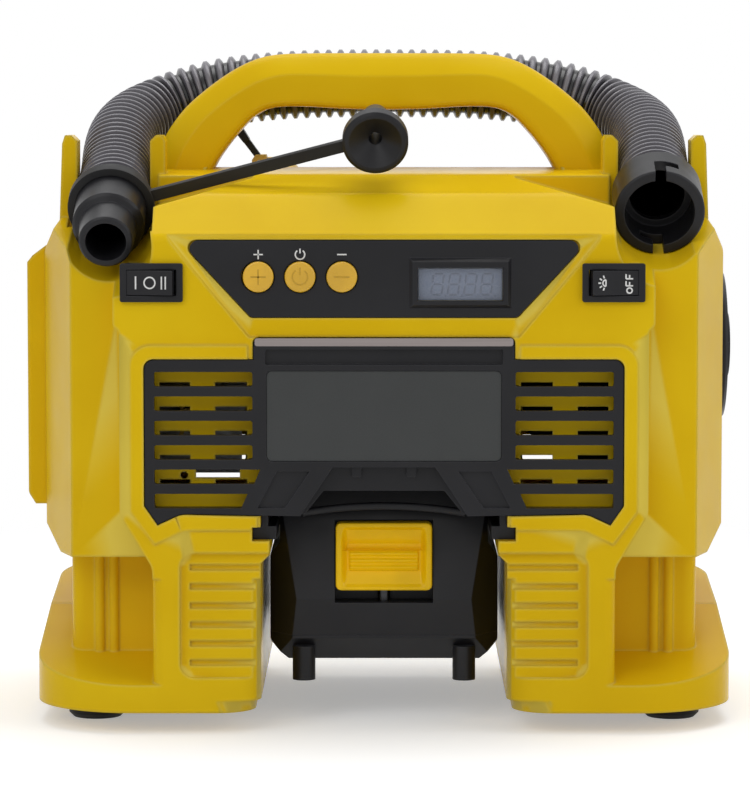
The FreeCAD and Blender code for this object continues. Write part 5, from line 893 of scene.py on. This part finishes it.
class INFLATOR_OT_key_marks(bpy.types.Operator):
    """Mark the keys: plus, a power sign and minus in darker amber, a painted shade that stands for their
    debossed grooves, and the same signs in white over them
    """

    bl_idname = "inflator.key_marks"
    bl_label = "Key marks"

    def execute(self, context):
        sizes = context.scene.inflator_marks
        for word, node, body in KEYS:
            low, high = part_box(node)
            centre = np.array([(low.x + high.x) / 2, (low.z + high.z) / 2])
            over = centre + (0, KEY_SIGN_UP)
            for suffix, middle, (scale, thin), front, finish in (
                ("_mark", centre, (1.0, 1.0), low.y, ("amber_mark", body, "button_amber")),
                ("_sign", over, KEY_SIGN_SHARES, PANEL_FACE, ("white_print", "housing", "white_nylon")),
            ):
                lay, width = flat_front(front), sizes.stroke * thin
                lines = key_lines(word, middle, KEY_MARK_HALF * scale)
                strokes = [stroke(line, width, sizes.rise, lay) for line in lines]
                finish_piece(add_mesh(word + suffix, *joined(strokes)), *finish)
        return {"FINISHED"}


# The rockers: depth and height of their pivots, how each is placed across and tilted, and their dished face.
ROCKER_PIVOT = (-0.0842, 0.1556)
MODE_ROCKER = (-0.0792, -10)
LAMP_ROCKER = (0.0782, 10)
ROCKER_FACE = -0.0036
ROCKER_DISH = 0.0009
ROCKER_HALF = 0.008
ROCKER_CREASE = 0.00019
ROCKER_CREASE_HALF = 0.0034


def on_rocker(at, tilt):
    """Lays points of the plane, counted from the rocker's middle, on its dished face."""
    pivot = np.array([at, *ROCKER_PIVOT])
    lean = math.radians(tilt)

    def lay(p, high):
        x, away = p[:, 0], np.abs(p[:, 0])
        dish = ROCKER_FACE + ROCKER_DISH * (1 - away / ROCKER_HALF)
        dish = dish - ROCKER_CREASE * np.clip(1 - away / ROCKER_CREASE_HALF, 0, 1)
        y = dish - high
        across = x * math.cos(lean) - y * math.sin(lean)
        depth = x * math.sin(lean) + y * math.cos(lean)
        return pivot + np.stack([across, depth, p[:, 1]], 1)

    return lay


class INFLATOR_OT_switch_marks(bpy.types.Operator):
    """Print the two rockers: I, O, II on the left one, a lamp and OFF on the right one"""

    bl_idname = "inflator.switch_marks"
    bl_label = "Switch marks"

    def execute(self, context):
        sizes = context.scene.inflator_marks
        for name, place, body, lines in (
            ("mode_switch_print", MODE_ROCKER, "mode_switch_rocker", mode_lines()),
            ("lamp_switch_print", LAMP_ROCKER, "lamp_switch_rocker", off_lines() + lamp_lines()),
        ):
            lay = on_rocker(*place)
            strokes = [stroke(line, sizes.stroke, sizes.rise, lay, ring) for line, ring in lines]
            finish_piece(add_mesh(name, *joined(strokes)), "white_print", body, "white_nylon")
        return {"FINISHED"}


def mode_lines():
    """I, O and II from left to right, each line with whether it is a ring."""
    tall = 0.0022
    one, *two = [([(x, -tall), (x, tall)], False) for x in (-0.0048, 0.0042, 0.0056)]
    return [one, (arc((0, 0), 0.0019, 0, 352, 30), True), *two]


def off_lines():
    """OFF, written upwards on the right half of the rocker."""
    x, low, tall, step = 0.0036, -0.0034, 0.0024, 0.0024
    lines = [(arc((x + tall / 2, low + 0.0008), 0.0009, 0, 345, 20), True)]
    for k in (1, 2):
        base = low + k * step
        middle = x + tall * 0.5
        lines += [
            ([(x + tall, base), (x, base)], False),
            ([(x, base), (x, base + 0.0016)], False),
            ([(middle, base), (middle, base + 0.0013)], False),
        ]
    return lines


def lamp_lines():
    """A lamp with its rays on the left half of the rocker."""
    centre = np.array([-0.0034, 0.0])
    radius = 0.0011
    lines = [(arc(centre, radius, 90, 270, 16), False), ([centre + (0, radius), centre - (0, radius)], False)]
    for angle in np.radians((110, 145, 180, 215, 250)):
        way = np.array([math.cos(angle), math.sin(angle)])
        lines.append(([centre + way * 0.0017, centre + way * 0.0027], False))
    return lines


FIGURE_WIDE = 0.0036
FIGURE_TALL = 0.0036  # half of its height
FIGURE_LEAN = 0.12
FIGURE_MIDDLE = 0.1549
FIGURE_FIRST = 0.0165
FIGURE_STEP = 0.0056
FIGURE_GAPS = (0.0005, 0.0004)  # how far the level and the upright bars end before the corners
FIGURE_POINT = (0.0006, 0.0012, 0.0003)  # where the point starts and ends after the figure, and how far below
FIGURE_STROKE = 0.0006
FIGURE_RISE = 0.00005


class INFLATOR_OT_display(bpy.types.Operator):
    """Draw the faint figures of the display: four eights of seven bars each, with their points"""

    bl_idname = "inflator.display"
    bl_label = "Display figures"

    def execute(self, context):
        lay = flat_front(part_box("lcd_module")[0].y)
        lines = [line for k in range(4) for line in self.figure(FIGURE_FIRST + k * FIGURE_STEP)]
        strokes = [stroke(line, FIGURE_STROKE, FIGURE_RISE, lay) for line in lines]
        piece = add_mesh("display_figures", *joined(strokes))
        finish_piece(piece, "segment_grey", "housing", "display_case")
        return {"FINISHED"}

    def figure(self, left):
        """Three level bars, four upright ones that lean with the height, and the point."""
        wide, tall = FIGURE_WIDE, FIGURE_TALL
        level, upright = FIGURE_GAPS
        start, end, below = FIGURE_POINT

        def place(across, height, nudge=0.0):
            return left + FIGURE_LEAN * height + across, FIGURE_MIDDLE + height + nudge

        lines = [[place(level, h), place(wide - level, h)] for h in (-tall, 0, tall)]
        for h in (-tall, 0):
            for side in (0, wide):
                lines.append([place(side, h, upright), place(side, h + tall, -upright)])
        foot = FIGURE_MIDDLE - tall - below
        lines.append([(left + wide + start, foot), (left + wide + end, foot)])
        return lines


def area_light(name, place, target, size, power):
    """A rectangular lamp at a place, turned to its target."""
    data = bpy.data.lights.new(name, "AREA")
    data.shape, data.size, data.size_y, data.energy = "RECTANGLE", size[0], size[1], power
    light = bpy.data.objects.new(name, data)
    light.location = place
    light.rotation_euler = (Vector(target) - Vector(place)).to_track_quat("-Z", "Y").to_euler()
    bpy.context.scene.collection.objects.link(light)


WHITE = (1, 1, 1, 1)


def seen_white(tree):
    """One for camera, glossy and transmission rays, which see plain white, and nought for the others."""
    path = tree.nodes.new("ShaderNodeLightPath").outputs
    any_ray = path["Is Camera Ray"]
    for other in ("Is Glossy Ray", "Is Transmission Ray"):
        both = add_node(tree, "ShaderNodeMath", {0: any_ray, 1: path[other]}, operation="MAXIMUM")
        any_ray = both.outputs["Value"]
    return any_ray


def mixed_shader(tree, factor, first, second):
    """A mix of two shaders."""
    return add_node(tree, "ShaderNodeMixShader", {0: factor, 1: first, 2: second}).outputs[0]


FLOOR_RADII = (0.0, 0.3, 0.8, 4.0)
FLOOR_AROUND = 96
FLOOR_FADES = (0.2, 0.55)
FLOOR_GREY = (0.86, 0.86, 0.86, 1)
FLOOR_LIFT = 0.36
WORLD_LIGHT = 0.42
LENS = 172.0
SENSOR = 36.0
AIM = (-0.00306, -0.085, 0.1155)


class INFLATOR_OT_studio(bpy.types.Operator):
    """Set up the pale floor, the soft lights, the white surroundings and the camera"""

    bl_idname = "inflator.studio"
    bl_label = "Studio"

    def execute(self, context):
        scene, studio = context.scene, context.scene.inflator_studio
        angle = np.linspace(0, 2 * np.pi, FLOOR_AROUND, endpoint=False)
        x, y = (np.array(FLOOR_RADII)[:, None] * turn for turn in (np.cos(angle), np.sin(angle)))
        points = np.stack([x, y, np.zeros_like(x)], -1).reshape(-1, 3)
        floor = add_mesh("studio_floor", points, grid_faces(len(FLOOR_RADII), FLOOR_AROUND))
        floor.data.materials.append(self.floor_material())
        area_light("front_light", (-0.9, -1.6, 1.3), (0, 0, 0.12), (1.5, 1.2), studio.key_power)
        area_light("side_light", (1.5, -0.8, 0.8), (0, 0, 0.12), (1.0, 1.2), studio.fill_power)
        area_light("top_light", (0.1, 0.3, 1.6), (0, 0, 0.15), (1.6, 1.0), studio.top_power)
        self.world(scene)
        camera = bpy.data.objects.new("camera", bpy.data.cameras.new("camera"))
        camera.data.lens, camera.data.sensor_width, camera.data.sensor_fit = LENS, SENSOR, "AUTO"
        camera.data.clip_start, camera.data.clip_end = 0.05, 20
        camera.location = (0, -studio.distance, studio.height)
        camera.rotation_euler = (Vector(AIM) - camera.location).to_track_quat("-Z", "Y").to_euler()
        scene.collection.objects.link(camera)
        scene.camera = camera
        scene.view_settings.view_transform = "Standard"
        return {"FINISHED"}

    def floor_material(self):
        """Pale floor near the object, with its shadow, that fades to the white of the surroundings."""
        material = bpy.data.materials.new("pale_floor")
        material.use_nodes = True
        tree = material.node_tree
        tree.nodes.clear()
        place = add_node(tree, "ShaderNodeTexCoord").outputs["Object"]
        far = add_node(tree, "ShaderNodeVectorMath", {0: place}, operation="LENGTH").outputs["Value"]
        ends = {"Value": far, "From Min": FLOOR_FADES[0], "From Max": FLOOR_FADES[1]}
        fade = add_node(tree, "ShaderNodeMapRange", ends, interpolation_type="SMOOTHSTEP").outputs["Result"]
        dull = add_node(tree, "ShaderNodeBsdfDiffuse", {"Color": FLOOR_GREY}).outputs[0]
        glow = add_node(tree, "ShaderNodeEmission", {"Color": WHITE, "Strength": 1.0}).outputs[0]
        lift = add_node(tree, "ShaderNodeEmission", {"Color": WHITE, "Strength": FLOOR_LIFT}).outputs[0]
        lifted = add_node(tree, "ShaderNodeAddShader", {0: dull, 1: lift}).outputs[0]
        seen = seen_white(tree)
        near = mixed_shader(tree, seen, dull, lifted)
        amount = add_node(tree, "ShaderNodeMath", {0: fade, 1: seen}, operation="MULTIPLY").outputs[0]
        add_node(tree, "ShaderNodeOutputMaterial", {"Surface": mixed_shader(tree, amount, near, glow)})
        return material

    def world(self, scene):
        """White surroundings that light the object softly."""
        world = bpy.data.worlds.new("studio_world")
        world.use_nodes = True
        tree = world.node_tree
        tree.nodes.clear()
        soft = add_node(tree, "ShaderNodeBackground", {"Color": WHITE, "Strength": WORLD_LIGHT}).outputs[0]
        white = add_node(tree, "ShaderNodeBackground", {"Color": WHITE, "Strength": 1.0}).outputs[0]
        add_node(tree, "ShaderNodeOutputWorld", {"Surface": mixed_shader(tree, seen_white(tree), soft, white)})
        scene.world = world


class INFLATOR_PT_sidebar(bpy.types.Panel):
    """Lists the steps that dress the inflator"""

    bl_label = "Inflator"
    bl_idname = "INFLATOR_PT_sidebar"
    bl_space_type = "VIEW_3D"
    bl_region_type = "UI"
    bl_category = "Inflator"

    def draw(self, context):
        for group in GROUPS:
            box = self.layout.box()
            settings = getattr(context.scene, group)
            for key in settings.__annotations__:
                box.prop(settings, key)
        for operator in OPERATORS:
            self.layout.operator(operator.bl_idname)


GROUPS = {
    "inflator_colours": InflatorColours,
    "inflator_hose": InflatorHose,
    "inflator_marks": InflatorMarks,
    "inflator_studio": InflatorStudio,
}
OPERATORS = (
    INFLATOR_OT_finishes,
    INFLATOR_OT_shell_halves,
    INFLATOR_OT_side_pod,
    INFLATOR_OT_panel_plate,
    INFLATOR_OT_pack_case,
    INFLATOR_OT_stop_pegs,
    INFLATOR_OT_latch_face,
    INFLATOR_OT_ribbed_hose,
    INFLATOR_OT_key_marks,
    INFLATOR_OT_switch_marks,
    INFLATOR_OT_display,
    INFLATOR_OT_studio,
)


def register():
    for part in (*GROUPS.values(), *OPERATORS, INFLATOR_PT_sidebar):
        bpy.utils.register_class(part)
    for name, group in GROUPS.items():
        setattr(bpy.types.Scene, name, bpy.props.PointerProperty(type=group))


def unregister():
    for name in GROUPS:
        delattr(bpy.types.Scene, name)
    for part in reversed((*GROUPS.values(), *OPERATORS, INFLATOR_PT_sidebar)):
        bpy.utils.unregister_class(part)


def main():
    """Runs every step in order."""
    register()
    for operator in OPERATORS:
        space, name = operator.bl_idname.split(".")
        getattr(getattr(bpy.ops, space), name)()


if __name__ == "__main__":
    main()
